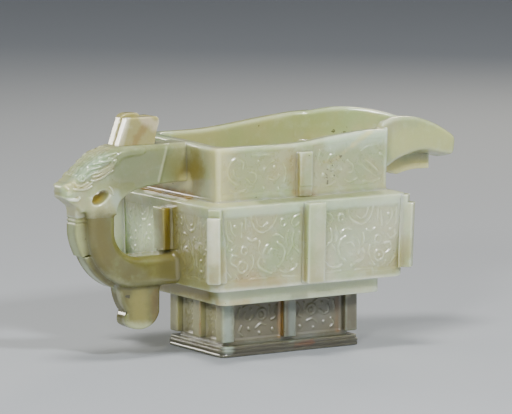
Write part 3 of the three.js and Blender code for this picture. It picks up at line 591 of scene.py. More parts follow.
def foot_relief(side, along, height):
    """The same strokes on every wall, drawn closer together on the two short ones."""
    middle = np.abs(along)
    outer = np.where(side % 2 == 0, long_panel, short_panel)
    panel = sunk(middle, height, foot_rib_half + 0.3, outer, foot_bottom + 1.5, foot_top - 1.2, 0.9)
    panel = np.where(side < 0, 0, panel)
    scale = np.where(side % 2 == 0, 1, 21.5 / 10.8)
    carving = ribbons((middle - foot_rib_half) * scale + foot_rib_half, height, foot_strokes)
    return panel * (foot_carving_rise * carving - foot_ground_depth)


ceiling = foot_top - 4.6
foot_low, foot_high = foot_bottom - 0.2, foot_top + 0.15
foot_rows = rows_at(hollow_length, hollow_width, 1, [(3, ceiling)])
foot_rows += rows_at(hollow_length, hollow_width, hollow_radius, rounded_edge(
    (1.5, ceiling), (0, ceiling), (0, ceiling - 1.5)) + [(0, foot_low)])
foot_rows += rows_at(foot_length, foot_width, foot_radius, [(1, foot_low)])
foot_rows += rows_at(foot_length, foot_width, foot_radius, [
    (0, height) for height in np.arange(foot_low, foot_high, 0.28)], True)
foot_rows += rows_at(foot_length, foot_width, foot_radius, [(1, foot_high)])
foot_wall = turned_block("foot_wall_carved", foot_rows, (176, 100, 6), foot_relief)
dressed(foot_wall, ["foot_wall"], grey_nephrite)


# Foot posts and ribs: square posts that clasp the corners and a plain rib in the middle of each side,
# left standing when the panels were sunk, and rubbed round at their edges.
def smooth_max(a, b, k):
    """The greater of two distances, with the edge between them rubbed round over k."""
    h = np.maximum(k - np.abs(a - b), 0) / k
    return np.maximum(a, b) + h * h * k / 4


def plan_distance(x, y, half_length, half_width, radius):
    """Distance from a round-cornered rectangle, less than zero inside it."""
    qx, qy = np.abs(x) - (half_length - radius), np.abs(y) - (half_width - radius)
    return np.hypot(np.maximum(qx, 0), np.maximum(qy, 0)) + np.minimum(np.maximum(qx, qy), 0) - radius


def hewn(name, low, high, step, distance, ground=None):
    """The stone that is left where distance(x, y, z) is below zero, as one closed skin of quads.

    The corners of the box are in mm and step is the skin's grain. Every cell that the surface
    passes through gets one point, at the mean of its crossings with the cell's edges.
    """
    axes = [np.arange(a - 2 * step, b + 2.5 * step, step) for a, b in zip(low, high)]
    x, y, z = np.meshgrid(*axes, indexing="ij", sparse=True)
    value = np.broadcast_to(distance(x, y, z), [len(a) for a in axes]).astype(np.float32)
    solid = value < 0
    cells = np.zeros([len(a) - 1 for a in axes], np.int8)
    for corner in np.ndindex(2, 2, 2):
        cells += solid[tuple(slice(c, c + n) for c, n in zip(corner, cells.shape))]
    active = (cells > 0) & (cells < 8)
    where = np.argwhere(active)
    label = np.full(cells.shape, -1, np.int64)
    label[active] = np.arange(len(where))
    total, crossings = np.zeros((len(where), 3)), np.zeros(len(where))
    for axis in range(3):
        others = [a for a in range(3) if a != axis]
        for shift in np.ndindex(2, 2):
            first = np.zeros(3, int)
            first[others] = shift
            second = first.copy()
            second[axis] = 1
            a, b = value[tuple((where + first).T)], value[tuple((where + second).T)]
            cut = (a < 0) != (b < 0)
            point = np.tile(first.astype(float), (len(where), 1))
            point[:, axis] = np.where(cut, a / np.where(cut, a - b, 1), 0)
            total[cut] += point[cut]
            crossings[cut] += 1
    points = (where + total / crossings[:, None]) * step + [a[0] for a in axes]
    faces = []
    for axis in range(3):
        u, v = (axis + 1) % 3, (axis + 2) % 3
        ahead = np.take(solid, range(1, solid.shape[axis]), axis)
        behind = np.take(solid, range(solid.shape[axis] - 1), axis)
        edge = np.argwhere(ahead != behind)
        leaving = behind[tuple(edge.T)]
        ring = []
        for du, dv in ((-1, -1), (0, -1), (0, 0), (-1, 0)):
            cell = edge.copy()
            cell[:, u] += du
            cell[:, v] += dv
            ring.append(label[tuple(cell.T)])
        ring = np.stack(ring, 1)
        ring[~leaving] = ring[~leaving][:, ::-1]
        faces.append(ring)
    piece = mesh_object(name, points, np.concatenate(faces).tolist())
    if ground is not None:
        layer = piece.data.attributes.new("ground", "FLOAT", "POINT")
        layer.data.foreach_set("value", ground(*points.T).astype(np.float32))
    return piece


def outline_distance(u, v, outline):
    """Distance from a closed outline of (u, v) points, less than zero inside it."""
    u, v = np.broadcast_arrays(u, v)
    nearest, inside = np.full(u.shape, 1e9), np.zeros(u.shape, bool)
    for (au, av), (bu, bv) in zip(outline, outline[1:] + outline[:1]):
        ru, rv = bu - au, bv - av
        t = np.clip(((u - au) * ru + (v - av) * rv) / (ru * ru + rv * rv + 1e-12), 0, 1)
        nearest = np.minimum(nearest, np.hypot(u - au - t * ru, v - av - t * rv))
        if av != bv:
            crosses = ((av > v) != (bv > v)) & (u < au + (v - av) / rv * ru)
            inside ^= crosses
    return np.where(inside, -nearest, nearest)


def plate(flat, across, half, radius):
    """A flat outline's distance carried across a width, its edges rounded to the radius."""
    a, b = flat + radius, np.abs(across) - half + radius
    return np.hypot(np.maximum(a, 0), np.maximum(b, 0)) + np.minimum(np.maximum(a, b), 0) - radius


post_bottom, post_top = heights("foot_post_front_left")
rib_face_x, rib_face_y = plinth_length - 0.7, plinth_width - 0.7
post_width = 5.2


def upright(node, x_ends, y_ends, radius):
    """A square post or rib of the foot between two plan corners, its edges rubbed to the radius."""
    (left, right), (front, back) = sorted(x_ends), sorted(y_ends)

    def distance(x, y, z):
        flat = plan_distance(x - (left + right) / 2, y - (front + back) / 2,
                             (right - left) / 2, (back - front) / 2, radius)
        return plate(flat, z - (post_bottom + post_top) / 2, (post_top - post_bottom) / 2, radius)
    piece = hewn(f"{node}_carved", [left, front, post_bottom], [right, back, post_top], 0.22, distance)
    dressed(piece, [node], grey_nephrite)


corner_places = (("front_left", -1, -1), ("front_right", 1, -1), ("back_left", -1, 1), ("back_right", 1, 1))
for place, sx, sy in corner_places:
    upright(f"foot_post_{place}", [sx * (rib_face_x - post_width), sx * rib_face_x],
            [sy * (rib_face_y - post_width), sy * rib_face_y], 0.55)

rib_ends = [-foot_rib_half, foot_rib_half]
for place, sx, sy in (("left", -1, 0), ("right", 1, 0), ("front", 0, -1), ("back", 0, 1)):
    upright(f"foot_rib_{place}", [sx * (foot_length - 0.6), sx * rib_face_x] if sx else rib_ends,
            [sy * (foot_width - 0.6), sy * rib_face_y] if sy else rib_ends, 0.5)


# Waist: a plain slab between the foot and the belly, its edges and corners rubbed soft. From here up
# the stone is celadon nephrite with a high polish, so light goes deepest and thin edges glow. Its
# fourth colour is a painted glow on edges that stand out, its fifth painted shade in hollows.
pale_nephrite = nephrite("celadon_nephrite_polished", "#a6b589", "#b6b68e", "#c9d8c0", "#deeedd",
                         "#8c894c", 0.09, boulder_stains_and_painted_light, 5.0)
waist_length, waist_width = half_size("waist_slab")
waist_bottom, waist_top = heights("waist_slab")
waist_outline = [
    (12, waist_bottom), (2.0, waist_bottom),
    *rounded_edge((0.5, waist_bottom), (0, waist_bottom), (0, waist_bottom + 0.5)),
    *[(0, height) for height in np.linspace(waist_bottom + 1.0, waist_top - 0.6, 9)],
    (0.1, waist_top + 0.1), (2.0, waist_top + 0.2), (10.0, waist_top + 0.2)]
waist_rows = rows_at(waist_length, waist_width, lambda inset: max(3.2 - inset * 0.4, 0.5), waist_outline)
waist = turned_block("waist_slab_carved", waist_rows, (110, 80, 12))
dressed(waist, ["waist_slab"], pale_nephrite)


# Belly: the wide lower tier. Each of its walls carries half a beast mask on each side of a plain rib,
# cut in low relief: eyes, horns and jaws as ribbons with softened edges on a sunk ground.
belly_length, belly_width = half_size("belly")
belly_bottom, neck_bottom = heights("belly")
shoulder = neck_bottom - 1.2
belly_radius = 4
belly_draft = 1.1
mask_side = 4.2
mask_long_end, mask_short_end = 38.3, 29.9
mask_rise, mask_ground_depth = 0.42, 0.26
loop_join_half, loop_join_top = 9.5, 37.5
mask_strokes = [
    (0.55, [(8.1, 46.8), (8.8, 44.4), (8.1, 42.0), (7.1, 41.2), (4.8, 38.7)]),
    (0.5, [(8.7, 41.6), (10.4, 38.9)]), (0.45, [(5.6, 46.8), (4.8, 44.5)]),
    (0.45, [(10.4, 47.6), (11.1, 44.8), (10.5, 42.2)]),
    (0.6, [(14.9, 43.6), (12.6, 42.2), (11.7, 39.6), (12.5, 36.8), (14.6, 34.9)]),
    (0.6, [(18.4, 43.4), (20.4, 41.8), (21.2, 39.2), (20.6, 37.0)]),
    (0.45, [(15.4, 41.2), (17.4, 41.4), (18.6, 39.8)]),
    (0.5, [(22.6, 44.4), (23.0, 42.0), (22.3, 39.9)]),
    (0.75, [(22.3, 38.6), (23.2, 36.6), (22.0, 34.6), (17.5, 32.7)]),
    (0.55, [(26.7, 53.9), (26.0, 51.9), (24.5, 49.2), (22.0, 48.0), (19.0, 48.6), (17.0, 50.2),
            (16.1, 51.9), (15.5, 53.4)]),
    (0.4, [(24.6, 53.9), (23.4, 50.8), (21.4, 50.0), (19.4, 51.2)]),
    (0.5, [(30.4, 51.6), (30.6, 46.6)]), (0.4, [(28.9, 53.4), (28.8, 49.4)]),
    (0.5, [(27.8, 46.0), (26.1, 45.1), (24.0, 45.6)]), small_ring(29.2, 41.7, 1.4, 0.45),
    small_ring(29.8, 35.6, 2.0, 0.5), small_boss(29.8, 35.6, 0.6),
    (0.5, [(37.0, 52.9), (37.0, 49.0), (36.2, 46.4), (34.2, 45.0)]),
    (0.45, [(35.2, 52.2), (34.9, 49.4), (33.0, 47.0)]), small_boss(33.4, 50.8, 0.6),
    (0.5, [(36.9, 34.9), (34.8, 32.3)]), (0.45, [(25.6, 39.4), (25.2, 37.0), (26.2, 34.4), (27.8, 32.4)]),
    (0.45, [(33.2, 43.6), (34.8, 42.0), (36.6, 42.8), (36.4, 44.4)]),
    (0.45, [(13.6, 33.2), (11.2, 32.4), (8.0, 33.0), (6.2, 34.8)]), small_boss(8.4, 36.9, 0.55),
    (0.45, [(5.4, 53.4), (8.0, 52.4), (9.0, 50.4), (7.4, 49.2), (5.8, 50.2)]),
    small_ring(12.7, 50.9, 1.3, 0.45),
    (0.45, [(32.6, 36.0), (35.0, 37.8), (34.4, 40.2), (32.0, 39.8)]),
    (0.4, [(19.4, 30.9), (23.4, 31.1), (27.0, 30.7)]), (0.4, [(5.2, 30.9), (9.0, 30.8), (13.0, 31.2)]),
    (0.4, [(12.6, 45.2), (14.6, 46.6), (17.0, 46.2)]), (0.4, [(31.4, 31.4), (33.0, 33.4)])]


def belly_inset(height):
    """How far the belly's walls lean in below the shoulder."""
    return belly_draft * (shoulder - height) / (shoulder - belly_bottom)


def worn(u, v):
    """How much of the relief was left by the polishing, uneven from place to place."""
    swell = np.sin(0.83 * u + 1.7 * np.sin(0.41 * v)) * np.sin(0.97 * v + 1.3 * np.sin(0.37 * u))
    return 0.62 + 0.38 * swell


def mask_relief(side, along, height):
    """Half a mask on each side of the rib, drawn closer together on the two short walls.

    The left wall is plain where the handle's loop joins it.
    """
    middle = np.abs(along)
    outer = np.where(side % 2 == 0, mask_long_end, mask_short_end)
    panel = sunk(middle, height, mask_side + 0.1, outer, belly_bottom + 2.3, shoulder - 3.0, 1.6)
    panel = np.where(side < 0, 0, panel)
    squeeze = np.where(side % 2 == 0, 1, 34.0 / 25.6)
    carving = ribbons((middle - mask_side) * squeeze + mask_side, height, mask_strokes)
    joint = np.maximum(middle - loop_join_half, height - loop_join_top)
    panel = np.where(side == 3, panel * np.clip(joint / 3, 0, 1), panel)
    return panel * (mask_rise * carving * worn(along, height) - mask_ground_depth)


bowl_length, bowl_width, bowl_radius = 32.7, 23.0, 5
bowl_floor = belly_bottom + 6.4
belly_edge = belly_bottom - 0.55
belly_rows = rows_at(belly_length, belly_width, 1, [(14, belly_bottom)])
belly_rows += rows_at(belly_length - belly_draft, belly_width - belly_draft, belly_radius, [
    (5.4, belly_bottom), (4.4, belly_edge),
    *rounded_edge((0.4, belly_edge), (0, belly_edge), (0, belly_edge + 0.4))])
belly_rows += rows_at(belly_length, belly_width, belly_radius, [
    (belly_inset(height), height) for height in np.arange(belly_bottom + 1.0, shoulder - 0.45, 0.27)], True)
belly_rows += rows_at(belly_length, belly_width, lambda inset: belly_radius - inset / 3,
                      rounded_edge((0, shoulder - 0.4), (0, shoulder), (0.6, shoulder + 0.15)))
belly_rows += rows_at(belly_length, belly_width, lambda inset: max(belly_radius - inset * 0.5, 1.6), [
    (1.6, shoulder + 0.4), (3.2, shoulder + 0.85), (4.4, neck_bottom - 0.12), (5.6, neck_bottom),
    (7.2, neck_bottom)])
belly_rows += rows_at(bowl_length, bowl_width, bowl_radius, [(-0.4, neck_bottom)] + [
    (0, height) for height in np.linspace(neck_bottom, bowl_floor + 2.6, 14)])
belly_rows += rows_at(bowl_length, bowl_width, lambda inset: bowl_radius - inset * 0.5, rounded_edge(
    (0, bowl_floor + 2.5), (0, bowl_floor), (2.5, bowl_floor), 6)[1:])
belly_rows += rows_at(bowl_length, bowl_width, 3, [(inset, bowl_floor) for inset in (6, 12, 18)])
belly = turned_block("belly_carved", belly_rows, (314, 244, 14), mask_relief)
dressed(belly, ["belly"], pale_nephrite)


# Belly ribs: plain flanges left standing in the middle of each wall and on the corners, so that the
# mask has a nose and the tier a firm outline. The corner ones step back near the shoulder.
def cove(gap, radius):
    """The round hollow that the grinding left in a corner: how far it reaches at a gap from the wall."""
    inner = np.clip(radius - gap, 0, radius)
    return radius - np.sqrt(radius ** 2 - inner ** 2)


def flange(node, outline, half, origin, turn, radius=0.5, root=0.1, melt=0.6):
    """A rib cut from its side outline of (distance from the wall, height), turned to face outwards.

    It flares into the wall over melt, and root is how far in the flare starts.
    """
    outs, levels = zip(*outline)
    cos, sin = math.cos(turn), math.sin(turn)
    corners = np.array([(origin[0] + u * cos - w * sin, origin[1] + u * sin + w * cos)
                        for u in (min(outs), max(outs)) for w in (-half, half)])
    low, high = corners.min(0) - melt, corners.max(0) + melt

    def flare(out):
        return cove(out + root, melt)

    def distance(x, y, z):
        out = (x - origin[0]) * cos + (y - origin[1]) * sin
        across = -(x - origin[0]) * sin + (y - origin[1]) * cos
        if abs(sin) < 1e-6 or abs(cos) < 1e-6:
            return plate(outline_distance(out, z, outline), across, half + flare(out), radius)
        side = np.array([outline_distance(out[:, :, 0], level, outline) for level in z.ravel()])
        return plate(np.moveaxis(side, 0, 2), across, half + flare(out), radius)
    piece = hewn(f"{node}_carved", [*low, min(levels)], [*high, max(levels)], 0.25, distance)
    dressed(piece, [node], pale_nephrite)


def belly_rib_outline(bottom, top, stepped):
    """Side outline of a rib of the belly; a stepped one steps back by the shoulder."""
    projection, step_projection, sunk_root = 3.7, 1.6, 0.9
    low_lean, high_lean = -belly_inset(bottom), -belly_inset(top)
    outline = [(low_lean - sunk_root, bottom), (projection + low_lean, bottom), (projection + high_lean, top)]
    if stepped:
        return outline + [(step_projection + high_lean, top), (step_projection, shoulder - 0.2),
                          (-sunk_root, shoulder - 0.2)]
    return outline + [(high_lean - sunk_root, top)]


corner_rib_half, middle_rib_half = 2.5, 3.75
corner_reach = belly_radius * (1 - math.sqrt(0.5))
for place, sx, sy in corner_places:
    node = f"belly_rib_{place}"
    bottom, top = heights(node)[0], shoulder - 3.2
    flange(node, belly_rib_outline(bottom, top, True), corner_rib_half,
           (sx * (belly_length - corner_reach), sy * (belly_width - corner_reach)), math.atan2(sy, sx),
           root=1.2, melt=1.5)
for place, sx, sy in (("front", 0, -1), ("back", 0, 1), ("left", -1, 0), ("right", 1, 0)):
    node = f"belly_rib_{place}"
    bottom, top = heights(node)
    flange(node, belly_rib_outline(bottom, top, False), middle_rib_half,
           (sx * belly_length, sy * belly_width), math.atan2(sy, sx))


# Neck tier: the upper box of the bowl, open above, in the same pale stone. Its rim is low by the handle
# and sweeps up to the spout, the far side a little higher than the near one, as ground by eye. Its
# skin is made with the spout's, because the real channel was hollowed in one go with the bowl.
def smooth_step(value, start, end):
    t = np.clip((value - start) / (end - start), 0, 1)
    return t * t * (3 - 2 * t)


neck_length, neck_width = half_size("neck_tier")
neck_radius = 1.6
neck_draft = 0.5
low_rim, high_rim = 20.2, 24.0
neck_panel_side, neck_panel_end = 3.2, 36.1
scroll_rise, scroll_ground_depth = 0.4, 0.22
neck_strokes = [
    (0.6, [(-29.4, 74.6), (-31.2, 73.6), (-32.1, 72.2), (-32.8, 69.5), (-31.2, 66.8), (-28.2, 64.8)]),
    (0.5, [(-30.3, 70.6), (-29.6, 68.4), (-28.0, 67.8)]),
    (0.45, [(-27.7, 74.3), (-26.0, 73.0), (-26.2, 70.9)]),
    small_boss(-12.7, 70.6), small_boss(-17.2, 63.2), small_boss(-19.7, 73.2, 0.5),
    small_boss(-10.9, 62.4),
    (0.45, [(-24.6, 67.0), (-22.4, 65.2), (-20.4, 66.4), (-20.8, 68.8), (-22.6, 69.4)]),
    (0.4, [(-17.4, 69.8), (-15.2, 71.8), (-12.6, 73.2)]),
    (0.4, [(-15.0, 66.6), (-12.2, 66.0), (-10.6, 67.6)]),
    (0.4, [(-31.6, 63.1), (-28.4, 62.4), (-25.0, 62.8)]), (0.4, [(-8.4, 65.0), (-7.6, 68.6), (-8.8, 71.6)]),
    (0.4, [(-22.2, 75.4), (-18.0, 75.6), (-13.0, 75.2)]),
    (0.5, [(13.0, 73.8), (11.6, 73.2), (10.2, 71.0)]), (0.45, [(7.2, 75.6), (6.4, 72.6), (7.4, 70.4)]),
    (0.45, [(24.6, 70.3), (28.0, 67.2), (31.7, 64.6)]), (0.45, [(27.2, 70.9), (30.0, 68.8), (32.9, 66.4)]),
    (0.5, [(33.6, 72.5), (34.9, 72.2), (35.6, 70.6)]), small_boss(8.6, 66.4), small_boss(12.8, 65.6, 0.6),
    small_boss(16.4, 67.8, 0.5), small_ring(12.2, 69.0, 1.1, 0.4),
    (0.4, [(17.8, 64.2), (20.6, 63.0), (23.6, 64.0)]),
    (0.4, [(19.4, 71.2), (21.8, 69.0), (21.2, 66.6), (19.2, 66.8)]),
    (0.4, [(8.0, 62.6), (11.6, 62.2), (14.4, 63.4)]),
    (0.4, [(26.4, 62.6), (30.2, 62.4), (33.8, 63.2)]), (0.4, [(25.0, 74.4), (28.4, 75.8), (32.0, 76.2)])]


def neck_inset(height):
    """How far the neck's walls lean in below the rim's top."""
    return neck_draft * (neck_bottom + high_rim - height) / high_rim


def rim_line(x):
    """Height of the rim along the neck tier, as the solids have it."""
    return neck_bottom + low_rim + (high_rim - low_rim) * smooth_step(x, -18, 30)


def neck_relief(along, height):
    """Low scrolls on a sunk ground, in the two panels beside the neck's rib."""
    top = np.minimum(rim_line(along) - 1.7 - 2.0 * smooth_step(along, -20, 30), 79.6)
    panel = sunk(np.abs(along), height, neck_panel_side, neck_panel_end, neck_bottom + 1.6, top, 1.5)
    carving = ribbons(along, height, neck_strokes)
    return panel * (scroll_rise * carving * worn(along, height) - scroll_ground_depth)


spout_start, spout_root, spout_tip = bowl_length, neck_length, 82.5
spout_reach = spout_tip - spout_root
spout_wide, spout_narrow, spout_wall = 24.2, 7.5, 4
channel_start, floor_rise, floor_fall = 24, 13.0, 2.0
# How much shorter a distance is when it is taken square to the spout's narrowing sides
square_share = 0.94


def spout_half(x):
    """Half the width of the spout, which narrows evenly to its lip."""
    share = (np.maximum(x, spout_start) - spout_root) / spout_reach
    return spout_wide + (spout_narrow - spout_wide) * share


def channel_half(x):
    """Half width of the way that the wine takes: the bowl's own width, then the narrowing spout."""
    narrowing = spout_wide + (spout_narrow - spout_wide) * (x - spout_root) / spout_reach - spout_wall
    return -smooth_max(-narrowing, -bowl_width, 1.5)


def channel_floor(x):
    """Height of the channel's floor, which falls gently to the lip so that it drains."""
    return neck_bottom + floor_rise - floor_fall * (x - spout_root) / spout_reach


def channel_hollow(x, y, z):
    """Distance from the spout's channel, coved where its sides meet its floor."""
    side = (np.abs(y) - channel_half(x)) * square_share
    floor = channel_floor(x) - z - 0.4 * (1 - (y / channel_half(x)) ** 2)
    return smooth_max(side, floor, 1.2 + 3.3 * smooth_step(x, 34, 44))


def rim_change(x, y):
    """How far the rim stands off its line: up at the back, down at the front, nil at the spout's end."""
    rise = 0.3 + 0.5 * smooth_step(x, 18, 34) * (1 - smooth_step(x, 36, 46))
    back = rise * smooth_step(y, -12, 24)
    front = (0.45 + 1.15 * smooth_step(x, -22, 4) - 0.2 * smooth_step(x, 20, 30)) * smooth_step(-y, 6, 21)
    return back * (1 - smooth_step(x, 40, 70)) - front * (1 - smooth_step(x, 35.5, 38.5))


def neck_stone(x, y, z):
    """The box with its relief, less the bowl and the mouth of the channel, its rim rubbed round."""
    carving = neck_relief(x, z) * (y < 0) + neck_relief(-x, z) * (y > 0)
    inset = neck_inset(np.minimum(z, neck_bottom + high_rim))
    outer = plan_distance(x, y, neck_length - inset, neck_width - inset + carving, neck_radius)
    outer = outer - cove(z - neck_bottom, 1.0)
    mouth = smooth_max(channel_hollow(x, y, z), channel_start - x, 1.0)
    softened = 0.05 + 1.6 * smooth_step(x, 30, 32.5) * smooth_step(-np.abs(y), -21.5, -20)
    bowl = plan_distance(x, y, bowl_length, bowl_width, bowl_radius)
    hollow = -smooth_max(-bowl, -mouth, softened)
    stone = smooth_max(outer, z - rim_line(x) - rim_change(x, y), 1.3)
    stone = smooth_max(stone, -hollow, 1.3)
    return np.maximum(stone, neck_bottom - 0.25 - z)


def neck_ground(x, y, z):
    """1 where the ground between the scrolls is sunk and less polished."""
    carving = np.where(y < 0, neck_relief(x, z), neck_relief(-x, z))
    return np.where(np.abs(y) > bowl_width + 3, np.clip(-carving / 0.2, 0, 1), 0)


# Neck ribs: a narrow flange up the middle of the neck's front and back, with a small stepped foot.
# Both were left standing in the same pale stone when the panels beside them were sunk.
rib_foot_reach, neck_rib_reach, neck_rib_root, neck_rib_half = 1.8, 2.2, 1.4, 2.8
for place, sy in (("front", -1), ("back", 1)):
    node = f"neck_rib_{place}"
    bottom, top = heights(node)
    base = neck_bottom + 4
    outline = [(-neck_rib_root, bottom - 0.2), (rib_foot_reach - neck_inset(bottom), bottom - 0.2),
               (rib_foot_reach - neck_inset(base), base), (neck_rib_reach - neck_inset(base), base),
               (neck_rib_reach - neck_inset(top), top), (-neck_rib_root, top)]
    flange(node, outline, neck_rib_half, (0, sy * neck_width), math.atan2(sy, 0), 0.45)


# Spout: a broad open channel with upright sides and a sloping underside, hollowed with the bowl and
# cut in one with the neck tier, so the two share one skin. Its rim swells up from the bowl's and
# droops to a blunt lip.
def profile(points):
    """Height along the spout, through points of (share of its reach, rise over the neck's bottom)."""
    line = along_curve([(spout_root + share * spout_reach, neck_bottom + rise) for share, rise in points], 8)
    return lambda x: np.interp(x, line[:, 0], line[:, 1])


underside = profile([(-0.4, 4.2), (0, 5), (0.39, 6.5), (0.52, 8.3), (0.63, 8.9), (0.78, 8.2), (0.9, 6.9),
                     (1.05, 6.7)])
arris = profile([(-0.4, 5), (0, 7.4), (0.14, 9.5), (0.22, 10.6), (0.43, 12.2), (0.61, 12), (0.8, 10),
                 (1.05, 7.8)])
crown_x = spout_root + 8


def spout_rim(x, y):
    """Height of the spout's rim: a low crown past the neck tier, then a droop to the lip."""
    rise = neck_bottom + high_rim + 1.9 * smooth_step(x, spout_start, crown_x)
    past = np.maximum(x - crown_x, 0) / (spout_tip - crown_x)
    return rise - 11.4 * past ** 2 + rim_change(x, y)


def spout_stone(x, y, z):
    """The spout's sides between the sloping underside and the rim, less the channel."""
    half = spout_half(x)
    across = np.clip(np.abs(y) / half, 0, 1.2)
    below = underside(x) + (arris(x) - underside(x)) * (0.6 * across + 0.4 * across ** 2)
    shell = smooth_max((np.abs(y) - half) * square_share, (below - z) * 0.95, 1.0)
    shell = smooth_max(shell, z - spout_rim(x, y), 1.6)
    lean = 0.2 * np.clip((x - spout_root) / spout_reach, 0, 1) ** 4 * np.minimum(z - 73.6, 0)
    shell = smooth_max(shell, x - lean - spout_tip, 3.2)
    return np.maximum(smooth_max(shell, -channel_hollow(x, y, z), 1.4), 33 - x)


def upper_stone(x, y, z):
    return np.minimum(neck_stone(x, y, z), spout_stone(x, y, z))


upper = hewn("neck_tier_and_spout", [-neck_length - 1.2, -neck_width - 1.2, neck_bottom - 0.3],
             [spout_tip, neck_width + 1.2, neck_bottom + 27.4], 0.36, upper_stone, neck_ground)
dressed(upper, ["neck_tier", "spout"], pale_nephrite)


# Keel: the flange that stands under the spout like a beast's throat, its lower edge a shallow scroll.
# It is the same pale stone, sawn free on both sides and left joined to the spout's underside.
keel_length = 35
keel_start, keel_end = spout_root - 1, spout_root + keel_length
keel_edge = along_curve([(spout_root + share * keel_length, neck_bottom + rise) for share, rise in (
    (-0.2, 2.4), (0, 2.4), (0.12, 1.8), (0.27, 2.3), (0.41, 2.9), (0.51, 2.1), (0.59, 1.7), (0.67, 2.4),
    (0.81, 3.1), (1.0, 3.0))], 6)
keel_outline = [
    (keel_start, keel_edge[0, 1]), *[(u, v) for u, v in keel_edge if keel_start < u < keel_end],
    (keel_end, neck_bottom + 3.0), (keel_end, neck_bottom + 12.5), (keel_start, neck_bottom + 12.5)]


def keel_stone(x, y, z):
    flat = outline_distance(x, z, keel_outline)
    return smooth_max(plate(flat, y, 3, 0.6), z - underside(x) - 1.6, 0.1)


keel = hewn("spout_keel_carved", [keel_start, -3, neck_bottom + 1.2], [keel_end, 3, neck_bottom + 11],
            0.28, keel_stone)
dressed(keel, ["spout_keel"], pale_nephrite)


# Handle: a bridge from the neck tier to a horned beast's head, cut in one with it. The bridge is
# smooth; the head has a combed mane, a swirled brow, a knobbed snout and a drilled mouth.
crown_top = neck_bottom + low_rim
neck_front = -(neck_length + 27.5)
snout_x = neck_front - 23.2
nose_z = crown_top - 13.4
# The loop's middle line runs straight down at loop_line and then round the middle of its bend
loop_line, loop_half, bend_radius, bend_z = -neck_front + 8, 5.7, 15.6, 48.2
bend_x = -(loop_line - bend_radius)
crest_face = -(loop_line + loop_half + 3.8)
loop_inner = -(loop_line - loop_half)
loop_top = 54


def cubic(a, b, c, d, steps=10):
    """Points of a curve from a to d that leaves a towards b and comes to d from c."""
    return [tuple((1 - t) ** 3 * p + 3 * t * (1 - t) ** 2 * q + 3 * t * t * (1 - t) * r + t ** 3 * s
                  for p, q, r, s in zip(a, b, c, d)) for t in (i / steps for i in range(steps + 1))]


brow = quadratic((neck_front, crown_top), (neck_front - 9.7, crown_top - 2.6), (snout_x + 7, nose_z + 4.4))
bridge_under = crown_top - 15.7
wall_end = -(neck_length - 2.0)
head_outline = [
    (wall_end, crown_top), *brow,
    *quadratic((snout_x + 3.1, nose_z + 1.2), (snout_x, nose_z + 0.6), (snout_x, nose_z - 0.6), 4),
    (snout_x + 0.5, nose_z - 1.95),
    *quadratic((snout_x + 0.3, nose_z - 3.9), (crest_face - 1.6, loop_top + 5.2),
               (crest_face, loop_top + 4), 4),
    (crest_face + 1.5, loop_top + 2.2), (-76.4, loop_top + 2.0), (-69.7, loop_top + 0.8),
    *cubic((loop_inner, loop_top + 0.6), (loop_inner, loop_top + 5.4),
           (neck_front + 0.6, bridge_under - 2.4), (neck_front + 5.4, bridge_under - 0.6)),
    *quadratic((neck_front + 5.4, bridge_under - 0.6), (neck_front + 13.75, bridge_under + 1.3),
               (wall_end, bridge_under + 1.3), 6)[1:]]
handle_half = 7.2
mouth_x, mouth_z, mouth_tilt = snout_x + 14.1, loop_top + 7.3, math.radians(32)
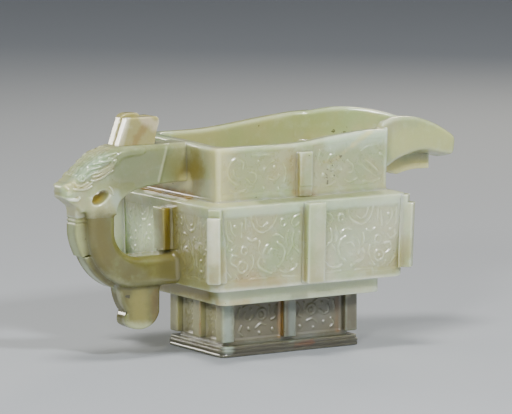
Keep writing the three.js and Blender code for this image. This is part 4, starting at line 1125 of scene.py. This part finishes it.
face_strokes = [
    (0.42, [(-88.6, 69.0), (-86.0, 70.2), (-83.3, 71.6), (-81.0, 73.6)]),
    (0.42, [(-84.7, 69.2), (-82.0, 71.3), (-80.4, 73.4), (-77.5, 75.0), (-74.8, 75.9)]),
    (0.42, [(-82.1, 68.8), (-80.4, 70.4), (-78.5, 71.7), (-76.2, 72.2), (-74.2, 72.7)]),
    (0.42, [(-79.8, 68.6), (-78.1, 69.9), (-75.5, 70.6), (-72.9, 71.0), (-70.3, 71.7)]),
    (0.42, [(-77.5, 73.6), (-74.9, 74.1), (-72.2, 74.4), (-69.6, 75.1), (-68.3, 76.2)]),
    (0.42, [(-75.5, 75.6), (-72.9, 76.2), (-70.3, 76.9), (-67.6, 77.4)]),
    (0.4, [(-83.0, 72.4), (-81.0, 74.6), (-78.6, 76.2), (-75.6, 77.4)]),
    (0.4, [(-70.6, 64.9), (-69.8, 63.7), (-69.3, 62.2)]),
    (0.55, [(-75.4, 70.4), (-73.7, 71.1), (-71.9, 72.0), (-70.3, 72.8), (-69.7, 74.1), (-70.5, 75.2)]),
    (0.55, [(-77.0, 69.1), (-74.6, 69.5), (-72.4, 70.5), (-70.6, 71.5), (-69.1, 72.8), (-68.4, 74.2)]),
    (0.5, [(-77.5, 67.6), (-75.4, 67.9), (-73.2, 68.8), (-71.3, 70.0), (-69.3, 71.1)]),
    (0.45, [(-83.1, 68.8), (-82.3, 69.8), (-81.0, 69.8), (-80.2, 68.8), (-81.0, 67.8), (-82.3, 67.9),
            (-83.1, 68.8)]),
    small_boss(-81.7, 68.8, 0.7), small_boss(-74.3, 74.2, 0.9), small_boss(-68.4, 74.4, 0.9),
    (0.5, [(-80.6, 65.2), (-79.0, 66.1), (-77.7, 66.9)]),
    (0.45, [(-83.4, 66.2), (-81.4, 66.0), (-79.2, 67.0)]),
    (0.45, [(-84.3, 64.8), (-82.2, 64.6), (-79.8, 64.7), (-77.8, 65.6)]),
    (0.5, [(-87.6, 69.6), (-86.4, 69.1), (-85.1, 68.5)]),
    (0.5, [(-88.0, 68.1), (-86.2, 67.6), (-84.2, 67.4)]),
    (0.45, [(-88.2, 67.3), (-87.4, 65.9), (-86.4, 64.8)]),
    small_boss(-86.4, 63.3, 1.1), small_boss(-89.4, 65.0, 1.0),
    small_boss(-85.6, 70.6, 0.9), small_boss(-83.0, 64.9, 0.8),
    (0.6, [(-92.0, 62.5), (-88.8, 61.8), (-86.1, 61.0), (-83.5, 60.8), (-82.3, 61.5)])]
brow_ridge = [(1.5, [(-67.6, 74.2), (-66.4, 75.9), (-63.6, 76.9), (-60.0, 77.2), (-56.8, 77.6)])]
tufts = [-69.4, -72.2, -74.6, -77.4, -79.6, -82.2, -84.1, -86.6, -88.4]


def smooth_min(a, b, k):
    return -smooth_max(-a, -b, k)


jaw_x = neck_front - 5.8
snout_half, crest_half, top_rounding = 4.4, 3.75, 2.4
top_x, top_z = zip(*reversed([(wall_end, crown_top)] + brow))


def head_thickness(x, z):
    """Half the width of bridge and head, which narrows from the jaw to the snout.

    The bridge is set back right of a slanting arris and flares where it meets the neck tier; the
    cheek and the carved strokes stand proud.
    """
    half = handle_half - (handle_half - snout_half) * np.clip((jaw_x - x) / (jaw_x - snout_x), 0, 1)
    arris_x = -45.6 - (79.6 - z) * 0.2815
    half = half - 0.6 * smooth_step(x - arris_x, -0.3, 1.6)
    half = half - 1.5 * np.clip(1 - (x - snout_x) / 3.2, 0, 1) ** 2
    half = half + cove(-x - neck_length + neck_inset(z) + 0.1, 0.4)
    cheek = 0.45 * smooth_step(x, -80, -76) * smooth_step(-z, -67, -61) * (x < -60)
    return half + cheek + ribbons(x, z, face_strokes) * 0.8 + ribbons(x, z, brow_ridge) * 0.35


def combed_mane(x, y):
    """How far the mane's tufts and the strands along it stand up."""
    combed = np.zeros(np.broadcast(x, y).shape)
    for tuft in tufts:
        combed = combed + 0.2 * np.exp(-((x - tuft + 0.06 * y ** 2) / 0.6) ** 2)
    strands = np.maximum(np.sin(2.9 * (np.abs(y) + 0.5 * np.sin(0.7 * x))), 0)
    return combed + 0.34 * strands * (0.65 + 0.35 * np.sin(2.1 * x))


def throat(x, y, z):
    """The short length of loop and crest under the jaw, a little slimmer at its lower end."""
    tenon = 0.05 * np.clip(loop_top - z, 0, 3)
    body = plate(np.abs(x + loop_line) - loop_half + tenon, np.abs(y) + tenon, handle_half, 2.8)
    back = plate(np.maximum(crest_face - x, x + 76), y, crest_half, 0.7)
    back = np.maximum(back, np.maximum(z - 60, loop_top - z))
    return smooth_min(np.maximum(body, z - 61), back, 0.5)


def drilled_mouth(x, z):
    """The slanting oval hole between the jaws, more than zero inside it."""
    along = (x - mouth_x) * math.cos(mouth_tilt) + (z - mouth_z) * math.sin(mouth_tilt)
    across = -(x - mouth_x) * math.sin(mouth_tilt) + (z - mouth_z) * math.cos(mouth_tilt)
    return (1 - np.hypot(along / 3.6, across / 1.95)) * 2.5


def head_stone(x, y, z):
    past = np.abs(y) - head_thickness(x, z)
    above = z - np.interp(x, top_x, top_z)
    stone = plate(outline_distance(x, z, head_outline), np.maximum(past + 3, 0), 3, 1.1)
    over = np.hypot(np.maximum(past + top_rounding, 0), np.maximum(above + top_rounding, 0))
    stone = smooth_max(stone, over - top_rounding, 0.3)
    stone = stone - combed_mane(x, y) * smooth_step(above, -1.6, -0.4) * smooth_step(-x, 66, 68)
    stone = smooth_min(stone, throat(x, y, z), 1.5)
    stone = smooth_max(stone, drilled_mouth(x, z), 0.8)
    return np.maximum(stone, loop_top - 2.6 - z)


head = hewn("beast_head_and_neck", [snout_x - 0.5, -handle_half - 2.4, loop_top - 2.8],
            [wall_end, handle_half + 2.4, crown_top + 0.4], 0.23, head_stone)
dressed(head, ["handle_neck", "beast_head"], pale_nephrite)


# Horns: two upright plates side by side behind the brow, the far one with a rounded knob. They are
# cut from the whitest stone, and their front faces carry a painted white highlight. The material's
# fourth colour is a painted glow on edges that stand out, its fifth painted shade in hollows.
white_nephrite = nephrite("white_nephrite_polished", "#a19b62", "#ada873", "#c9c8a6", "#c8c398",
                          "#857a3e", 0.09, [
    # partly the whitest stone, partly painted highlight on the near horn's front face
    ((-63.5, -3, 80), (-60.5, -3, 89), 1.8, "#e9ebe2", 0.95, 0.1),
    ((-58.6, -4.3, 79.5), (-53, -4.3, 87), 2.0, "#8d6c2c", 0.5, 1.3),
    ((-54, -4, 88.6), (-49, -4, 86), 3.0, "#d8cfb6", 0.6, 0.6),
    ((-47.8, -4, 82), (-47.4, -4, 88), 1.6, "#d9d3c4", 0.8, 0.3)], 2.4)


def horn_outline(knob):
    """Side outline of a horn, with a knob of that height on its front corner or none."""
    foot, top = neck_front + 0.4, crown_top + 10
    front = foot + 3.7
    rear = front + 13.4
    outline = [(foot - 0.15, crown_top - 0.4), (rear - 2.0, crown_top - 0.4), (rear - 1.0, top - 5.2),
               (rear - 0.1, top - 3.0)]
    outline += quadratic((rear + 0.1, top - 1.8), (rear, top), (rear - 1.8, top), 5)
    if knob:
        outline += quadratic((front + 7.6, top), (front + 7.6, top + knob), (front + 4.9, top + knob), 4)
        outline += quadratic((front + 2.3, top + knob), (front - 0.2, top + knob * 0.8),
                             (front - 0.7, top - 1.2), 4)
    else:
        outline += [(front, top)]
    return outline


for place, sign, knob in (("front", -1, 0), ("back", 1, 1.3)):
    outline = horn_outline(knob)
    middle = sign * 2.25

    def horn_stone(x, y, z):
        return plate(outline_distance(x, z, outline), y - middle, 2.05, 0.5)
    horn = hewn(f"horn_{place}_carved", [neck_front, middle - 2.1, crown_top - 0.5],
                [neck_front + 18, middle + 2.1, crown_top + 11.4], 0.25, horn_stone)
    dressed(horn, [f"horn_{place}"], white_nephrite)


# Loop: the beast's body, a round-edged bar that runs down from the jaw, bends and joins the belly.
# It was cut from the olive skin side of the boulder, where iron darkens the stone and light comes
# back from less deep.
# Its fourth colour is a painted glow on edges that stand out, its fifth painted shade in hollows.
olive_nephrite = nephrite("olive_nephrite_polished", "#645f24", "#6f6d38", "#8b925e", "#aebb98",
                          "#7d773c", 0.1, [
    ((-43.5, -9, 33), (-43.5, 9, 33), 13, "#8b8552", 0.85, 0.25),
    ((-82.6, 0, 56), (-81, 0, 40), 4.4, "#aab686", 0.9, 0.25),
    ((-79.5, 0, 37), (-66.5, 0, 26), 3.6, "#b0bd98", 0.85, 0.3),
    ((-67, 0, 58), (-67, 0, 46), 4.5, "#7d6f2c", 0.7, 0.4),
    ((-67, 0, 46), (-58, 0, 38), 4.5, "#80702f", 0.7, 0.4),
    # painted light in the notch between the crest's near side and the loop
    ((-83, -4, 55), (-80, -5, 38), 3.6, "#a5ab78", 0.8, 0.3),
    ((-76, -7, 52), (-73, -7, 38), 6.5, "#6a6118", 0.75, 0.3),
    ((-76, -7, 34), (-62, -7, 27), 2.6, "#a9ab80", 0.5, 0.5),
    ((-49.5, -4, 24), (-49, -4, 12), 3.0, "#8a7020", 0.5, 0.7),
    ((-56, -4, 22), (-56, -4, 13), 6.5, "#97914a", 0.75, 0.3),
    ((-60, -4, 11.4), (-52, -4, 10.6), 4.0, "#bac19c", 0.8, 0.3),
    ((-64, -2, 25), (-62.8, -2, 12), 2.0, "#b3b594", 0.6, 0.4)], 2.6)


def loop_path_distance(x, z):
    """Distance from the middle line of the loop, in its own plane, more than zero outside the bend."""
    down = -(x + loop_line)
    along = bend_z - bend_radius - z
    turn = np.hypot(x - bend_x, z - bend_z) - bend_radius
    return np.where((z > bend_z) & (x < bend_x), down, np.where(x > bend_x, along, turn))


def loop_stone(x, y, z):
    narrowed = 0.05 * np.clip(z - loop_top, 0, 3)
    flared = cove(-x - belly_length + belly_inset(z), 1.6) * smooth_step(z, belly_bottom, belly_bottom + 4)
    bar = plate(np.abs(loop_path_distance(x, z)) - loop_half + narrowed - flared,
                np.maximum(np.abs(y) + narrowed - flared - handle_half + 3, 0), 3, 2.8)
    return np.maximum(np.maximum(bar, z - loop_top - 1.6), x + belly_length - 2.4)


loop_bottom = bend_z - bend_radius - loop_half
loop = hewn("handle_loop_carved", [-(loop_line + loop_half), -handle_half - 2.8, loop_bottom - 2.8],
            [-belly_length + 2.4, handle_half + 2.8, loop_top + 2], 0.33, loop_stone)
dressed(loop, ["handle_loop"], olive_nephrite)


# Crest: the flange along the beast's back, in the loop's olive stone, in two lengths with a notch
# between. Two cuts cross its upper end, and its edges are softened.
edge_radius = bend_radius + loop_half
crest_inner = edge_radius - 1.2


def around_bend(radius, angle):
    """A point at a radius from the middle of the loop's bend, at an angle down from its left."""
    turn = math.radians(angle)
    return bend_x - radius * math.cos(turn), bend_z - radius * math.sin(turn)


def crest_outline(start, end, start_radius, end_radius, top=None):
    """A length of the crest between two angles of the bend, and straight up to top from there."""
    outer, inner = [], []
    for i in range(13):
        angle = start + (end - start) * i / 12
        outer.append(around_bend(start_radius + (end_radius - start_radius) * i / 12, angle))
        inner.insert(0, around_bend(crest_inner, angle))
    if top:
        outer.insert(0, (crest_face, top))
        inner.append((bend_x - crest_inner, top))
    return outer + inner


upper_crest = crest_outline(0, 22, edge_radius + 3.8, edge_radius + 2.6, loop_top + 0.3)
lower_crest = crest_outline(23, 66, edge_radius + 1.8, edge_radius + 1.8)
for name, outline, cuts in (("crest_upper", upper_crest, (52.0, 53.4)), ("crest_lower", lower_crest, ())):
    def crest_stone(x, y, z):
        flat = outline_distance(x, z, outline)
        flared = cove(loop_path_distance(x, z) - loop_half, 1.5)
        stone = plate(flat, np.maximum(np.abs(y) - flared, 0), crest_half, 0.7)
        for cut in cuts:
            stone = np.maximum(stone, np.minimum(stone + 0.4, 0.3 - np.abs(z - cut)))
        return stone
    xs, zs = zip(*outline)
    crest = hewn(f"{name}_carved", [min(xs), -5.4, min(zs)], [max(xs), 5.4, max(zs)], 0.25, crest_stone)
    dressed(crest, [name], olive_nephrite)


# Tail: the flat pendant of olive stone that hangs under the loop's lower arm, with a hooked left edge
# and a round foot. It was sawn free of the waist and foot beside it.
tail_top = loop_bottom + 0.6
tail_low = heights("tail_pendant")[0]
tail_right = bend_x + 10.6
tail_left = tail_right - 17.6
drop = tail_top - 0.9 - tail_low
hook_x = tail_left + 3.4
tail_outline = [(tail_left - 0.6, tail_top + 2.4), (tail_left - 0.1, tail_top), (tail_left, tail_top - 0.9)]
for bend, end in (
        ((tail_left + 0.8, tail_top - drop * 0.4), (hook_x, tail_top - drop * 0.62)),
        ((hook_x - 1.3, tail_low + drop * 0.26), (hook_x - 0.5, tail_low + drop * 0.15)),
        ((tail_left + 5.3, tail_low), (tail_left + 9.9, tail_low)),
        ((tail_right - 1.8, tail_low + 0.6), (tail_right - 0.2, tail_top - drop * 0.68))):
    tail_outline += quadratic(tail_outline[-1], bend, end)[1:]
tail_outline.append((tail_right, tail_top + 2.4))


def tail_stone(x, y, z):
    above = loop_path_distance(x, z) - loop_half
    flared = cove(above, 1.4)
    stone = plate(outline_distance(x, z, tail_outline) - flared, np.maximum(np.abs(y) - flared, 0),
                  crest_half, 1.1)
    return np.maximum(stone, -0.6 - above)


tail = hewn("tail_pendant_carved", [tail_left - 2.2, -5.6, tail_low], [tail_right + 1.6, 5.6, tail_top + 2.6],
            0.28, tail_stone)
dressed(tail, ["tail_pendant"], olive_nephrite)
